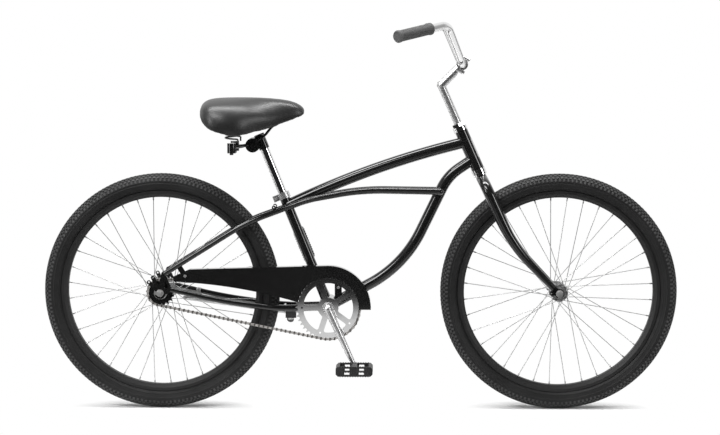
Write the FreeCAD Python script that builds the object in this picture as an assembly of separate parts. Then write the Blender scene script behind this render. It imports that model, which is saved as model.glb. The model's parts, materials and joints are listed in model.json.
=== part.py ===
import FreeCAD, Part
import math
import os
from FreeCAD import Vector

# Single-speed beach cruiser with a coaster brake, in millimetres.
# +X points forward, +Y to the rider's left, +Z up; the origin is on the ground, midway between the wheels.

# Wheels
WHEELBASE = 1120.0
BEAD_SEAT_RADIUS = 279.5
TYRE_SECTION = 54.0
TYRE_WALL = 3.5
BEAD_WIDTH = 3.2
INNER_TUBE_WALL = 1.2
INNER_TUBE_GAP = 0.4
RIM_WIDTH = 32.0
RIM_DEPTH = 13.0
RIM_WALL = 2.2
RIM_LIP = 5.5
RIM_SHOULDER = 3.0
RIM_FACE_WIDTH = 18.0
RIM_HOLLOW_GAP = 0.5
VALVE_RADIUS = 4.1
VALVE_LENGTH = 40.0
FRONT_VALVE_ANGLE = 130.0
REAR_VALVE_ANGLE = 10.0
SPOKE_COUNT = 36
SPOKE_CROSSES = 3
SPOKE_RADIUS = 1.0
SPOKE_HEAD_RADIUS = 1.9
SPOKE_HEAD_LENGTH = 1.2
SPOKE_STAGGER = 2.0
OUTER_ELBOW_GAP = 2.2
INNER_ELBOW_GAP = 0.3
NIPPLE_RADIUS = 2.0
NIPPLE_SHOW = 9.0
NIPPLE_HEAD_RADIUS = 3.0
NIPPLE_HEAD_LENGTH = 2.5
NIPPLE_SEAT_GAP = 0.5
NIPPLE_ACCESS_RADIUS = 4.5

# Front hub
FRONT_HUB_WIDTH = 100.0
FRONT_FLANGE_OFFSET = 33.0
FRONT_FLANGE_RADIUS = 25.0
FRONT_HOLE_RADIUS = 21.0
FRONT_BARREL_RADIUS = 14.0
FRONT_BORE_RADIUS = 8.0
FRONT_CUP_RADIUS = 11.5
FRONT_CUP_FLOOR = 37.0
FRONT_SHELL_END = 44.0
FRONT_CONE_RADIUS = 6.6
FRONT_BALL_COUNT = 9
FRONT_AXLE_LENGTH = 136.0

# Rear hub with coaster brake
REAR_HUB_WIDTH = 110.0
REAR_FLANGE_OFFSET = 29.0
REAR_FLANGE_RADIUS = 34.0
REAR_HOLE_RADIUS = 29.0
REAR_BARREL_RADIUS = 21.0
REAR_BORE_RADIUS = 17.0
REAR_CUP_RADIUS = 21.5
REAR_CUP_FLOOR = 31.0
REAR_SHELL_END = 38.0
REAR_CONE_RADIUS = 15.0
REAR_BALL_COUNT = 14
REAR_AXLE_LENGTH = 150.0
DRIVER_SEAT_RADIUS = 17.0
DRIVER_SCREW_RADIUS = 9.0
DRIVER_SCREW_LENGTH = 22.0
BRAKE_SHOE_RADIUS = 16.4
BRAKE_SHOE_BORE = 12.3
BRAKE_SHOE_LENGTH = 26.0
BRAKE_SHOE_GAP = 2.0
BRAKE_SHOE_SPLIT = 2.0
BRAKE_EXPANDER_LENGTH = 8.0
RIGHT_CONE_LENGTH = 3.3
RIGHT_CONE_RADIUS = 11.3
SNAP_RING_WALL = 2.0
SNAP_RING_WIDTH = 1.5
BRAKE_ARM_GAP = 1.5
BRAKE_ARM_THICKNESS = 3.0
BRAKE_ARM_REACH = 98.0
BRAKE_ARM_DROP = 17.0
BRAKE_ARM_RADIUS = 9.0
BRAKE_CLIP_WIDTH = 12.0
BRAKE_CLIP_WALL = 1.5

# Shared hub sizes
AXLE_RADIUS = 4.75
HUB_WALL = 3.0
FLANGE_THICKNESS = 3.0
AXLE_NUT_ACROSS = 15.0
AXLE_NUT_HEIGHT = 9.0
AXLE_WASHER_RADIUS = 10.5
AXLE_WASHER_THICKNESS = 2.0

# Clearances
RUN_FIT = 0.05
SLIP_FIT = 0.03
BALL_FIT = 0.05
FACE_GAP = 0.3
HOLE_FIT = 0.2
ROLLER_FIT = 0.12
CUT_OVER = 1.0
PATH_SAMPLES = 400

# Drive
CHAIN_PITCH = 12.7
CHAINRING_TEETH = 44
SPROCKET_TEETH = 18
RUN_PITCHES = 37
ROLLER_RADIUS = 3.875
CHAIN_INNER_WIDTH = 3.3
CHAIN_PLATE = 1.0
CHAIN_PLATE_RADIUS = 4.1
CHAIN_PLATE_WAIST = 2.7
CHAIN_PLATE_TURN = 55.0
CHAIN_PLATE_GAP = 0.1
CHAIN_PIN_RADIUS = 1.8
CHAIN_PIN_PROUD = 0.8
CHAIN_LINE = 45.0
TOOTH_THICKNESS = 3.0
TOOTH_RISE = 3.0
TOOTH_TIP = 2.4
TOOTH_SEAT_HALF = 60.0
CHAINRING_ARMS = 5
CHAINRING_ARM_WIDTH = 16.0
CHAINRING_HUB_RADIUS = 29.0
CHAINRING_WINDOW_RADIUS = 70.0
CHAINRING_CORNER = 5.0
CHAINRING_HOLE_CIRCLE = 74.0
CHAINRING_HOLE_RADIUS = 2.75
DRIVE_PIN_RADIUS = 4.5
DRIVE_PIN_CIRCLE = 21.0
CRANK_LENGTH = 178.0
CRANK_ANGLE = 25.0
CRANK_SPINDLE_RADIUS = 11.0
CRANK_ELBOW_RADIUS = 13.0
CRANK_ARM_RADIUS = 12.0
CRANK_TIP_RADIUS = 7.0
CRANK_ELBOW_OFFSET = 70.0
CRANK_EYE_OFFSET = 77.0
CRANK_EYE_RADIUS = 13.0
CRANK_EYE_WIDTH = 15.0
CRANK_COLLAR_RADIUS = 17.0
PEDAL_THREAD_RADIUS = 6.35
PEDAL_COLLAR_RADIUS = 8.5
PEDAL_COLLAR_LENGTH = 5.0
PEDAL_SHAFT_RADIUS = 5.0
PEDAL_LENGTH = 102.0
PEDAL_WIDTH = 75.0
PEDAL_HEIGHT = 27.0
PEDAL_CHAMFER = 6.0
PEDAL_END_PLATE = 7.0
PEDAL_SIDE_BAR = 11.0
PEDAL_BARREL_RADIUS = 11.0
PEDAL_HUB_HALF = 7.7
PEDAL_WINDOW_LENGTH = 14.0
PEDAL_WINDOW_HEIGHT = 7.0
PEDAL_WINDOW_PITCH = 10.5
PEDAL_WINDOW_OFFSET = 20.0
LEFT_PEDAL_TURN = 112.0

# Frame
BB_HEIGHT = 291.0
BB_SHELL_RADIUS = 28.65
BB_SHELL_BORE = 25.65
BB_SHELL_WIDTH = 68.0
BB_CUP_FLANGE = 3.0
BB_CUP_DEPTH = 9.0
BB_CUP_WALL = 2.0
BB_CUP_BORE_GAP = 0.7
BB_CUP_TRACK = 21.8
BB_CONE_TRACK = 15.3
BB_BALL_COUNT = 11
TUBE_WALL = 1.6
MAIN_TUBE_RADIUS = 15.9
SEAT_LEAN = 22.0
SEAT_TUBE_RADIUS = 14.3
SEAT_TUBE_LENGTH = 346.0
SEAT_SLIT_WIDTH = 2.0
SEAT_SLIT_LENGTH = 28.0
HEAD_LEAN = 23.8
HEAD_TUBE_RADIUS = 18.0
HEAD_TUBE_BORE = 15.1
HEAD_TUBE_LENGTH = 118.0
TOP_TUBE_ON_HEAD = 83.0
TOP_TUBE_ON_SEAT = 308.0
TOP_TUBE_BOW = 14.5
DOWN_TUBE_ON_HEAD = 31.0
DOWN_TUBE_UPPER_BEND = (71.7, 48.0)
DOWN_TUBE_LOWER_BEND = (212.5, 115.0)
STAY_RADIUS = 9.5
STAY_END_RADIUS = 7.5
STAY_WALL = 1.5
STAY_FRONT_AT = 47.0
STAY_FRONT_SINK = 1.0
STAY_SEAT_SINK = 0.5
STAY_NOSE_RADIUS = 10.0
STAY_NOSE_INSET = 2.0
STAY_ON_SEAT = 304.0
STAY_FRONT_BEND = (222.0, 3.5)
STAY_SEAT_BEND = (58.0, 21.0)
STAY_REAR_BEND = (116.0, 42.0)
STAY_TYRE_GAP = 5.5
STAY_END = (12.0, 54.0)
STAY_EYELET_AT = 38.0
CHAINSTAY_RADIUS = 10.0
CHAINSTAY_END_RADIUS = 7.0
CHAINSTAY_AT_SHELL = 23.5
CHAINSTAY_RING_BEND = (86.0, 3.0)
CHAINSTAY_RING_OFFSET = 29.0
CHAINSTAY_TYRE_BEND = (150.0, 1.0)
CHAINSTAY_REAR_BEND = (150.0, 19.0)
CHAINSTAY_END = (30.0, 9.5)
DROPOUT_THICKNESS = 6.0
DROPOUT_RADIUS = 16.0
DROPOUT_ARM_RADIUS = 8.0
DROPOUT_SLOT = 10.0
EYELET_RADIUS = 5.5
EYELET_BORE = 2.6
EYELET_SINK = 1.0
REAR_EYELETS = ((20.0, 44.0), (31.0, 31.0))
BRIDGE_RADIUS = 6.0
STAY_BRIDGE_AT = 0.62
CHAINSTAY_BRIDGE_BACK = 124.0
CHAINSTAY_BRIDGE_HALF = 38.0
CLAMP_WALL = 3.6
CLAMP_HEIGHT = 17.0
CLAMP_EAR_LENGTH = 13.0
CLAMP_EAR_WIDTH = 5.0
CLAMP_GAP = 3.0
CLAMP_BOLT_RADIUS = 2.5
CLAMP_BOLT_HEAD_RADIUS = 4.25
CLAMP_BOLT_HEAD_LENGTH = 4.0
CLAMP_NUT_ACROSS = 8.0
BADGE_LENGTH = 56.0
BADGE_HALF_ANGLE = 38.0
BADGE_THICKNESS = 0.8

# Headset and fork
RAKE = 69.6
FORK_LENGTH = 396.0
LOWER_STACK = 13.0
STEERER_RADIUS = 12.7
STEERER_BELOW = 26.0
RACE_RADIUS = 19.5
RACE_BASE = 4.0
RACE_TRACK = 13.8
CUP_RADIUS = 20.0
CUP_TRACK = 18.0
CUP_SKIRT = 10.0
CUP_PLATE = 2.0
CUP_HEIGHT = 8.0
CUP_BORE_GAP = 0.6
CROWN_COLLAR = 6.0
HEADSET_BALL_COUNT = 18
LOCKNUT_ACROSS = 34.0
LOCKNUT_HEIGHT = 9.0
SCREWED_RACE_HEIGHT = 5.0
BLADE_RADIUS = 15.5
BLADE_END_RADIUS = 9.5
BLADE_WALL = 1.8
BLADE_TOP = -15.0
BLADE_SHOULDER = -40.0
BLADE_SHOULDER_OFFSET = 48.0
BLADE_AHEAD = 3.0
BLADE_BEND = -219.5
BLADE_BEND_OFFSET = 50.0
BLADE_END = (17.0, 15.0)
FRONT_DROPOUT_THICKNESS = 5.5
FRONT_DROPOUT_RADIUS = 13.0
FRONT_DROPOUT_ARM_RADIUS = 7.6
FRONT_DROPOUT_OVERLAP = 4.0
FRONT_EYELET = (24.0, 1.0)

# Stem and handlebar
QUILL_RADIUS = 11.1
QUILL_WALL = 2.6
QUILL_DEPTH = 75.0
STEM_BEND = 270.0
STEM_REACH = 82.0
STEM_RISE = 45.0
STEM_ARM_RADIUS = 12.0
STEM_CLAMP_RADIUS = 16.0
STEM_CLAMP_WIDTH = 42.0
STEM_SPLIT = 1.6
STEM_SPLIT_LEAN = 24.0
STEM_EAR_OFFSET = 19.0
STEM_EAR_RADIUS = 5.5
STEM_BOLT_RADIUS = 2.5
STEM_BOLT_SPACING = 26.0
STEM_BOLT_HEAD_RADIUS = 4.25
STEM_BOLT_HEAD_LENGTH = 4.0
EXPANDER_RADIUS = 4.0
EXPANDER_HEAD_RADIUS = 7.0
EXPANDER_HEAD_LENGTH = 6.0
EXPANDER_DEPTH = 22.4
WEDGE_LENGTH = 28.0
WEDGE_SLANT = 30.0
BAR_RADIUS = 11.1
BAR_WALL = 1.6
BAR_CLAMP_LENGTH = 92.0
BAR_BEND_REACH = 24.0
BAR_RISE = 110.0
BAR_SETBACK = 45.0
BAR_CORNER_OFFSET = 150.0
BAR_END_OFFSET = 299.0
BAR_END_BACK = 134.0
BAR_END_DROP = 32.0
GRIP_RADIUS = 15.5
GRIP_LENGTH = 132.0
GRIP_CAP = 4.0

# Chain guard
GUARD_OFFSET = 53.5
GUARD_THICKNESS = 1.2
GUARD_OUTER_RADIUS = 120.0
GUARD_INNER_RADIUS = 86.0
GUARD_FRONT_DROP = 4.0
GUARD_INNER_ANGLE = 169.0
GUARD_REAR_TOP = (81.0, 66.5)
GUARD_REAR_MIDDLE = (35.0, 45.5)
GUARD_REAR_LOW = (40.0, 31.5)
GUARD_EDGE_BOW = 11.0
GUARD_LIP = 22.0
GUARD_SCREW = (70.0, 48.0)
GUARD_TAB_WIDTH = 15.0
GUARD_TAB_THICKNESS = 1.8
GUARD_BRACKET = (28.0, 57.0)
GUARD_BRACKET_WIDTH = 20.0
GUARD_BRACKET_THICKNESS = 2.0
GUARD_BRACKET_INSET = 1.0
GUARD_LUG_THICKNESS = 3.0
SCREW_RADIUS = 2.5
SCREW_HEAD_RADIUS = 4.2
SCREW_HEAD_LENGTH = 2.0
SCREW_PROUD = 1.0

# Kickstand
KICKSTAND_PIVOT = (107.0, 38.0, 30.0)
KICKSTAND_LEG_LENGTH = 312.0
KICKSTAND_LEG_RADIUS = 6.0
KICKSTAND_BARREL_RADIUS = 8.5
KICKSTAND_BARREL_LENGTH = 16.0
KICKSTAND_PIN_RADIUS = 5.0
KICKSTAND_PIN_DEPTH = 20.0
KICKSTAND_PIN_END_GAP = 1.0
KICKSTAND_BOSS_WALL = 1.5
KICKSTAND_BOSS_FLOOR = 4.0
KICKSTAND_BLOCK_HALF = 15.0
KICKSTAND_BLOCK_INSET = 12.0
KICKSTAND_BLOCK_DROP = 4.0
KICKSTAND_FOLDED = (-336.0, 20.0, 43.0)
KICKSTAND_FORWARD_LEAN = 30.0
KICKSTAND_SIDE_LEAN = 27.0
KICKSTAND_PLATE_THICKNESS = 4.0
KICKSTAND_PLATE_LENGTH = 50.0
KICKSTAND_BOLT_RADIUS = 5.0
KICKSTAND_BOLT_ACROSS = 15.0
KICKSTAND_BOLT_HEAD_HEIGHT = 5.0

# Seat post and saddle
POST_RADIUS = 12.7
POST_BORE = 9.0
POST_INSERTED = 120.0
POST_SHOULDER = 480.0
POST_NECK_RADIUS = 11.1
POST_NECK_LENGTH = 44.0
SADDLE_PIVOT_UP = 502.0
SADDLE_PIVOT_BACK = 26.0
SADDLE_BARREL_RADIUS = 18.0
SADDLE_BARREL_HALF = 15.0
SADDLE_COLLAR_WALL = 3.5
SADDLE_PLATE_RADIUS = 20.0
SADDLE_PLATE_THICKNESS = 12.0
SADDLE_BOLT_RADIUS = 4.0
SADDLE_NUT_ACROSS = 13.0
SADDLE_NUT_HEIGHT = 6.0
RAIL_RADIUS = 3.5
RAIL_BENDS = ((-24.0, 31.0, -3.0), (0.0, 21.0, 8.0), (30.0, 21.0, 22.0), (58.0, 10.0, 58.0))
BUMPER_RADIUS = 12.0
BUMPER_HEIGHT = 28.0
BUMPER_PLACE = (-56.0, 58.0, 8.0)
BUMPER_NUT_ACROSS = 10.0
BUMPER_NUT_HEIGHT = 5.0
SPRING_WIRE_RADIUS = 2.4
SPRING_COIL_RADIUS = 17.0
SPRING_TURNS = 2.5
SPRING_END_STRAIGHT = 4.8
SPRING_END_BEND = 5.28
SPRING_END_REACH = 8.45
PAN_THICKNESS = 4.0
PAN_SUNK = 2.0
PAN_SIDE_GAP = 0.9
NOSE_PIVOT_AT = 104.0
NOSE_PIVOT_DROP = 10.0
NOSE_PIN_RADIUS = 2.5
NOSE_BARREL_RADIUS = 5.5
NOSE_BARREL_HALF = 9.0
NOSE_RAIL_OFFSET = 4.5
NOSE_LUG_THICKNESS = 4.0
# Saddle stations from tail to nose, from the tilt pivot: along, half width, skirt height, crown height,
# half width of the base, height of the base's upper face.
SADDLE_STATIONS = (
    (-147.0, 52.0, 84.0, 106.0, 38.0, 92.0),
    (-138.0, 88.0, 62.0, 121.0, 66.0, 82.0),
    (-115.0, 112.0, 42.0, 130.0, 86.0, 68.0),
    (-75.0, 120.0, 29.0, 132.0, 94.0, 56.0),
    (-35.0, 112.0, 26.0, 131.5, 82.0, 54.0),
    (10.0, 82.0, 37.0, 130.0, 56.0, 62.0),
    (55.0, 56.0, 50.0, 129.5, 36.0, 74.0),
    (95.0, 42.0, 66.0, 127.0, 26.0, 86.0),
    (125.0, 32.0, 78.0, 117.0, 18.0, 93.0),
    (141.0, 16.0, 87.0, 103.0, 8.0, 95.0),
)
SKIRT_TUCK = 5.0
CROWN_SHARE = 0.78
CROWN_DROP = 0.13

# Worked out from the sizes above
RUN_SHARE = 0.45
WHEEL_RADIUS = BEAD_SEAT_RADIUS + TYRE_SECTION
REAR_AXLE = Vector(-WHEELBASE / 2, 0, WHEEL_RADIUS)
FRONT_AXLE = Vector(WHEELBASE / 2, 0, WHEEL_RADIUS)
LEFT = Vector(0, 1, 0)
ZERO = Vector(0, 0, 0)


def pitch_radius(teeth):
    return CHAIN_PITCH / (2 * math.sin(math.pi / teeth))


def chain_layout():
    """Rollers on each sprocket and the centre distance that close the chain on whole pitches."""
    big = pitch_radius(CHAINRING_TEETH)
    small = pitch_radius(SPROCKET_TEETH)
    big_step = 2 * math.pi / CHAINRING_TEETH
    small_step = 2 * math.pi / SPROCKET_TEETH
    run = RUN_PITCHES * CHAIN_PITCH
    slope = math.asin((big - small) / run)
    on_small = round((math.pi - 2 * slope) / small_step) + 1
    on_big = round((math.pi + 2 * slope) / big_step) + 1
    on_big += (on_big + on_small) % 2
    big_half = big_step * (on_big - 1) / 2
    small_half = small_step * (on_small - 1) / 2
    rise = big * math.sin(big_half) - small * math.sin(small_half)
    along = math.sqrt(run ** 2 - rise ** 2)
    centres = along - big * math.cos(big_half) - small * math.cos(small_half)
    return on_big, on_small, centres


ROLLERS_ON_BIG, ROLLERS_ON_SMALL, CENTRE_DISTANCE = chain_layout()
BB_AHEAD = math.sqrt(CENTRE_DISTANCE ** 2 - (WHEEL_RADIUS - BB_HEIGHT) ** 2)
BB = Vector(REAR_AXLE.x + BB_AHEAD, 0, BB_HEIGHT)
TO_REAR = Vector(REAR_AXLE - BB).normalize()

HEAD_UP = Vector(-math.sin(math.radians(HEAD_LEAN)), 0, math.cos(math.radians(HEAD_LEAN)))
HEAD_AHEAD = Vector(math.cos(math.radians(HEAD_LEAN)), 0, math.sin(math.radians(HEAD_LEAN)))
CROWN = FRONT_AXLE - HEAD_AHEAD * RAKE + HEAD_UP * FORK_LENGTH
HEAD_TOP = LOWER_STACK + HEAD_TUBE_LENGTH
SEAT_UP = Vector(-math.sin(math.radians(SEAT_LEAN)), 0, math.cos(math.radians(SEAT_LEAN)))
SEAT_BACK = Vector(-math.cos(math.radians(SEAT_LEAN)), 0, -math.sin(math.radians(SEAT_LEAN)))
CRANK_DOWN = Vector(math.sin(math.radians(CRANK_ANGLE)), 0, -math.cos(math.radians(CRANK_ANGLE)))


def on_fork(up, left=0.0, ahead=0.0):
    """Point measured from the crown race seat along the steering axis, sideways and ahead of it."""
    return CROWN + HEAD_UP * up + LEFT * left + HEAD_AHEAD * ahead


def on_seat_tube(up, left=0.0, back=0.0):
    """Point measured from the crank axis along the seat tube."""
    return BB + SEAT_UP * up + LEFT * left + SEAT_BACK * back


SADDLE_PIVOT = on_seat_tube(SADDLE_PIVOT_UP, 0, SADDLE_PIVOT_BACK)
STEM_CORNER = on_fork(STEM_BEND)
STEM_ARM = Vector(math.cos(math.radians(STEM_RISE)), 0, math.sin(math.radians(STEM_RISE)))
BAR_CENTRE = STEM_CORNER + STEM_ARM * STEM_REACH


def unit(vector):
    return Vector(vector).normalize()


def cylinder(radius, start, end):
    return Part.makeCylinder(radius, (end - start).Length, start, end - start)


def ring(outer, inner, start, end):
    return cylinder(outer, start, end).cut(cylinder(inner, start, end))


def box(low, high):
    return Part.makeBox(high.x - low.x, high.y - low.y, high.z - low.z, low)


def mirrored(shape):
    return shape.mirror(ZERO, LEFT)


def both_sides(shape):
    return [shape, mirrored(shape)]


def turned(profile, base, axis):
    """Solid of revolution from (radius, height) corners, with heights along axis from base."""
    corners = [Vector(radius, 0, height) for radius, height in profile]
    face = Part.Face(Part.makePolygon(corners + corners[:1]))
    solid = face.revolve(ZERO, Vector(0, 0, 1), 360)
    solid.Placement = FreeCAD.Placement(base, FreeCAD.Rotation(Vector(0, 0, 1), axis))
    return solid


def hex_prism(across, start, end):
    axis = unit(end - start)
    reference = Vector(1, 0, 0) if abs(axis.x) < 0.9 else Vector(0, 0, 1)
    first = unit(axis.cross(reference))
    second = axis.cross(first)
    corner_radius = across / math.sqrt(3)
    corners = []
    for index in range(6):
        angle = math.pi * index / 3
        out = first * math.cos(angle) + second * math.sin(angle)
        corners.append(start + out * corner_radius)
    return Part.Face(Part.makePolygon(corners + corners[:1])).extrude(end - start)


def balls(count, radius, circle_radius, centre, axis):
    reference = unit(axis.cross(Vector(0.3, 0.2, 0.9)))
    second = axis.cross(reference)
    spheres = []
    for index in range(count):
        angle = 2 * math.pi * index / count
        out = reference * math.cos(angle) + second * math.sin(angle)
        spheres.append(Part.makeSphere(radius, centre + out * circle_radius))
    return spheres


def arc_at_corner(start, corner, end):
    """Arc that is tangent to both runs, where start and end are equally far from the corner."""
    middle = (start + end) * 0.5
    half_chord = (end - start).Length / 2
    half_turn = math.atan2((corner - middle).Length, half_chord)
    top = middle + unit(corner - middle) * (half_chord * math.tan(half_turn / 2))
    return Part.Arc(start, top, end).toShape()


def rounded_path(points, most=WHEELBASE):
    """Straight runs joined by the largest tangent arcs that they, and the given reach, leave room for."""
    edges = []
    here = points[0]
    for before, corner, after in zip(points, points[1:], points[2:]):
        reach = min(most, RUN_SHARE * (corner - before).Length, RUN_SHARE * (after - corner).Length)
        start = corner + unit(before - corner) * reach
        end = corner + unit(after - corner) * reach
        edges.append(Part.LineSegment(here, start).toShape())
        edges.append(arc_at_corner(start, corner, end))
        here = end
    edges.append(Part.LineSegment(here, points[-1]).toShape())
    return Part.Wire(edges)


def ring_section(point, tangent, radius):
    """Circle square to the path, with its seam always on the same side."""
    side = unit(LEFT - tangent * LEFT.dot(tangent))
    circle = Part.Wire(Part.makeCircle(radius))
    circle.Placement = FreeCAD.Placement(point, FreeCAD.Rotation(side, tangent.cross(side), tangent, "ZXY"))
    return circle


def swept(path, start_radius, end_radius=None):
    """Round bar along a path, tapering evenly where the end radius differs."""
    first = path.OrderedEdges[0]
    last = path.OrderedEdges[-1]
    pipe = Part.BRepOffsetAPI.MakePipeShell(path)
    start_point = first.valueAt(first.FirstParameter)
    start_tangent = unit(first.tangentAt(first.FirstParameter))
    if end_radius is None:
        pipe.add(Part.Wire(Part.makeCircle(start_radius, start_point, start_tangent)))
    else:
        end_point = last.valueAt(last.LastParameter)
        end_tangent = unit(last.tangentAt(last.LastParameter))
        pipe.add(ring_section(start_point, start_tangent, start_radius))
        pipe.add(ring_section(end_point, end_tangent, end_radius))
    pipe.build()
    pipe.makeSolid()
    return pipe.shape()


def capsule_plate(first, second, radius, thickness):
    """Flat plate with two round ends in the XZ plane, growing along +Y from its points."""
    along = unit(second - first)
    across = Vector(-along.z, 0, along.x) * radius
    edges = [
        Part.LineSegment(first + across, second + across).toShape(),
        Part.Arc(second + across, second + along * radius, second - across).toShape(),
        Part.LineSegment(second - across, first - across).toShape(),
        Part.Arc(first - across, first - along * radius, first + across).toShape(),
    ]
    return Part.Face(Part.Wire(edges)).extrude(LEFT * thickness)


def crosswise_edges(shape):
    """The straight edges that run along Y."""
    return [edge for edge in shape.Edges if edge.tangentAt(edge.FirstParameter).cross(LEFT).Length < RUN_FIT]


def polar(centre, radius, degrees, left=0.0):
    angle = math.radians(degrees)
    return centre + Vector(radius * math.cos(angle), left, radius * math.sin(angle))


# Wheels

def tyre(centre):
    """Round casing, open towards the rim, with a square bead along each edge."""
    middle = BEAD_SEAT_RADIUS + TYRE_SECTION / 2
    outer = TYRE_SECTION / 2
    inner = outer - TYRE_WALL
    bead_outside = RIM_WIDTH / 2 - RIM_WALL - HOLE_FIT
    bead_inside = bead_outside - BEAD_WIDTH
    seat = BEAD_SEAT_RADIUS + HOLE_FIT
    lip_top = BEAD_SEAT_RADIUS + RIM_LIP + FACE_GAP
    waist = math.sqrt(outer ** 2 - (middle - lip_top) ** 2)
    inner_foot = middle - math.sqrt(inner ** 2 - bead_inside ** 2)

    def spot(radius, left):
        return Vector(radius, left, 0)

    inside_left = spot(inner_foot, bead_inside)
    inside_right = spot(inner_foot, -bead_inside)
    section = Part.Wire([
        Part.LineSegment(spot(seat, bead_outside), spot(lip_top, bead_outside)).toShape(),
        Part.LineSegment(spot(lip_top, bead_outside), spot(lip_top, waist)).toShape(),
        Part.Arc(spot(lip_top, waist), spot(middle + outer, 0), spot(lip_top, -waist)).toShape(),
        Part.LineSegment(spot(lip_top, -waist), spot(lip_top, -bead_outside)).toShape(),
        Part.LineSegment(spot(lip_top, -bead_outside), spot(seat, -bead_outside)).toShape(),
        Part.LineSegment(spot(seat, -bead_outside), spot(seat, -bead_inside)).toShape(),
        Part.LineSegment(spot(seat, -bead_inside), inside_right).toShape(),
        Part.Arc(inside_right, spot(middle + inner, 0), inside_left).toShape(),
        Part.LineSegment(inside_left, spot(seat, bead_inside)).toShape(),
        Part.LineSegment(spot(seat, bead_inside), spot(seat, bead_outside)).toShape(),
    ])
    solid = Part.Face(section).revolve(ZERO, LEFT, 360)
    solid.translate(centre)
    return solid


def inner_tube(centre, valve_angle):
    middle = BEAD_SEAT_RADIUS + TYRE_SECTION / 2
    outer_radius = TYRE_SECTION / 2 - TYRE_WALL - INNER_TUBE_GAP
    outer = Part.makeTorus(middle, outer_radius, centre, LEFT)
    inner = Part.makeTorus(middle, outer_radius - INNER_TUBE_WALL, centre, LEFT)
    foot = polar(centre, middle - outer_radius + INNER_TUBE_WALL / 2, valve_angle)
    tip = polar(centre, BEAD_SEAT_RADIUS - VALVE_LENGTH, valve_angle)
    return outer.fuse(cylinder(VALVE_RADIUS, foot, tip)).cut(inner)


def spoke_lines(centre, flange_offset, hole_radius):
    """Hub side, lead, hub hole angle, elbow point and rim seat of every spoke."""
    seat_radius = BEAD_SEAT_RADIUS - RIM_DEPTH + RIM_WALL
    for index in range(SPOKE_COUNT):
        side = -1 if index % 2 == 0 else 1
        lead = 1 if (index // 2) % 2 == 0 else -1
        rim_angle = (index + 0.5) * 360 / SPOKE_COUNT
        hub_angle = rim_angle + lead * SPOKE_CROSSES * 720 / SPOKE_COUNT
        gap = OUTER_ELBOW_GAP if lead == 1 else INNER_ELBOW_GAP
        proud = FLANGE_THICKNESS / 2 + SPOKE_RADIUS + gap
        elbow = polar(centre, hole_radius, hub_angle, side * (flange_offset + lead * proud))
        seat = polar(centre, seat_radius, rim_angle, side * SPOKE_STAGGER)
        yield side, lead, hub_angle, elbow, seat


def rim(centre, valve_angle, flange_offset, hole_radius):
    half = RIM_WIDTH / 2
    face = RIM_FACE_WIDTH / 2
    bead = BEAD_SEAT_RADIUS
    inner = bead - RIM_DEPTH
    outside = [(bead + RIM_LIP, -half), (bead + RIM_LIP, RIM_WALL - half), (bead, RIM_WALL - half)]
    outside += [(radius, -left) for radius, left in reversed(outside)]
    outside += [(bead - RIM_SHOULDER, half), (inner, face), (inner, -face), (bead - RIM_SHOULDER, -half)]
    solid = turned(outside, centre, LEFT)
    inset = half - RIM_WALL - RIM_HOLLOW_GAP
    shoulder = bead - RIM_SHOULDER - RIM_WALL / 2
    hollow = [(bead - RIM_WALL, -inset), (bead - RIM_WALL, inset), (shoulder, inset)]
    hollow += [(inner + RIM_WALL, face - RIM_WALL), (inner + RIM_WALL, RIM_WALL - face), (shoulder, -inset)]
    tools = [turned(hollow, centre, LEFT)]
    for side, lead, hub_angle, elbow, seat in spoke_lines(centre, flange_offset, hole_radius):
        along = unit(seat - elbow)
        access_start = seat + along * (2 * RIM_WALL)
        access_end = seat + along * (RIM_DEPTH + RIM_WALL)
        seat_start = seat - along * (2 * RIM_WALL)
        tools.append(cylinder(NIPPLE_RADIUS + HOLE_FIT, seat_start, seat + along * RIM_WALL))
        tools.append(cylinder(NIPPLE_ACCESS_RADIUS, access_start, access_end))
    tools.append(cylinder(VALVE_RADIUS + HOLE_FIT, polar(centre, inner - RIM_WALL, valve_angle),
                          polar(centre, bead + RIM_WALL, valve_angle)))
    return solid.cut(tools)


def spokes_and_nipples(centre, flange_offset, hole_radius):
    solids = []
    for side, lead, hub_angle, elbow, seat in spoke_lines(centre, flange_offset, hole_radius):
        along = unit(seat - elbow)
        inward = -side * lead
        head_face = side * flange_offset + inward * (FLANGE_THICKNESS / 2 + HOLE_FIT)
        head_start = Vector(elbow.x, head_face, elbow.z)
        head_end = head_start + LEFT * (inward * SPOKE_HEAD_LENGTH)
        run = cylinder(SPOKE_RADIUS, elbow, seat + along * NIPPLE_HEAD_LENGTH)
        knee = Part.makeSphere(SPOKE_RADIUS, elbow)
        through = cylinder(SPOKE_RADIUS, elbow, head_end)
        head = cylinder(SPOKE_HEAD_RADIUS, head_start, head_end)
        solids.append(run.fuse([knee, through, head]))
        shank_start = seat - along * (RIM_WALL + NIPPLE_SHOW)
        head_seat = seat + along * NIPPLE_SEAT_GAP
        head_top = head_seat + along * NIPPLE_HEAD_LENGTH
        nipple = cylinder(NIPPLE_RADIUS, shank_start, head_top)
        nipple = nipple.fuse(cylinder(NIPPLE_HEAD_RADIUS, head_seat, head_top))
        solids.append(nipple.cut(cylinder(SPOKE_RADIUS + SLIP_FIT, elbow, head_top + along)))
    return solids


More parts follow.
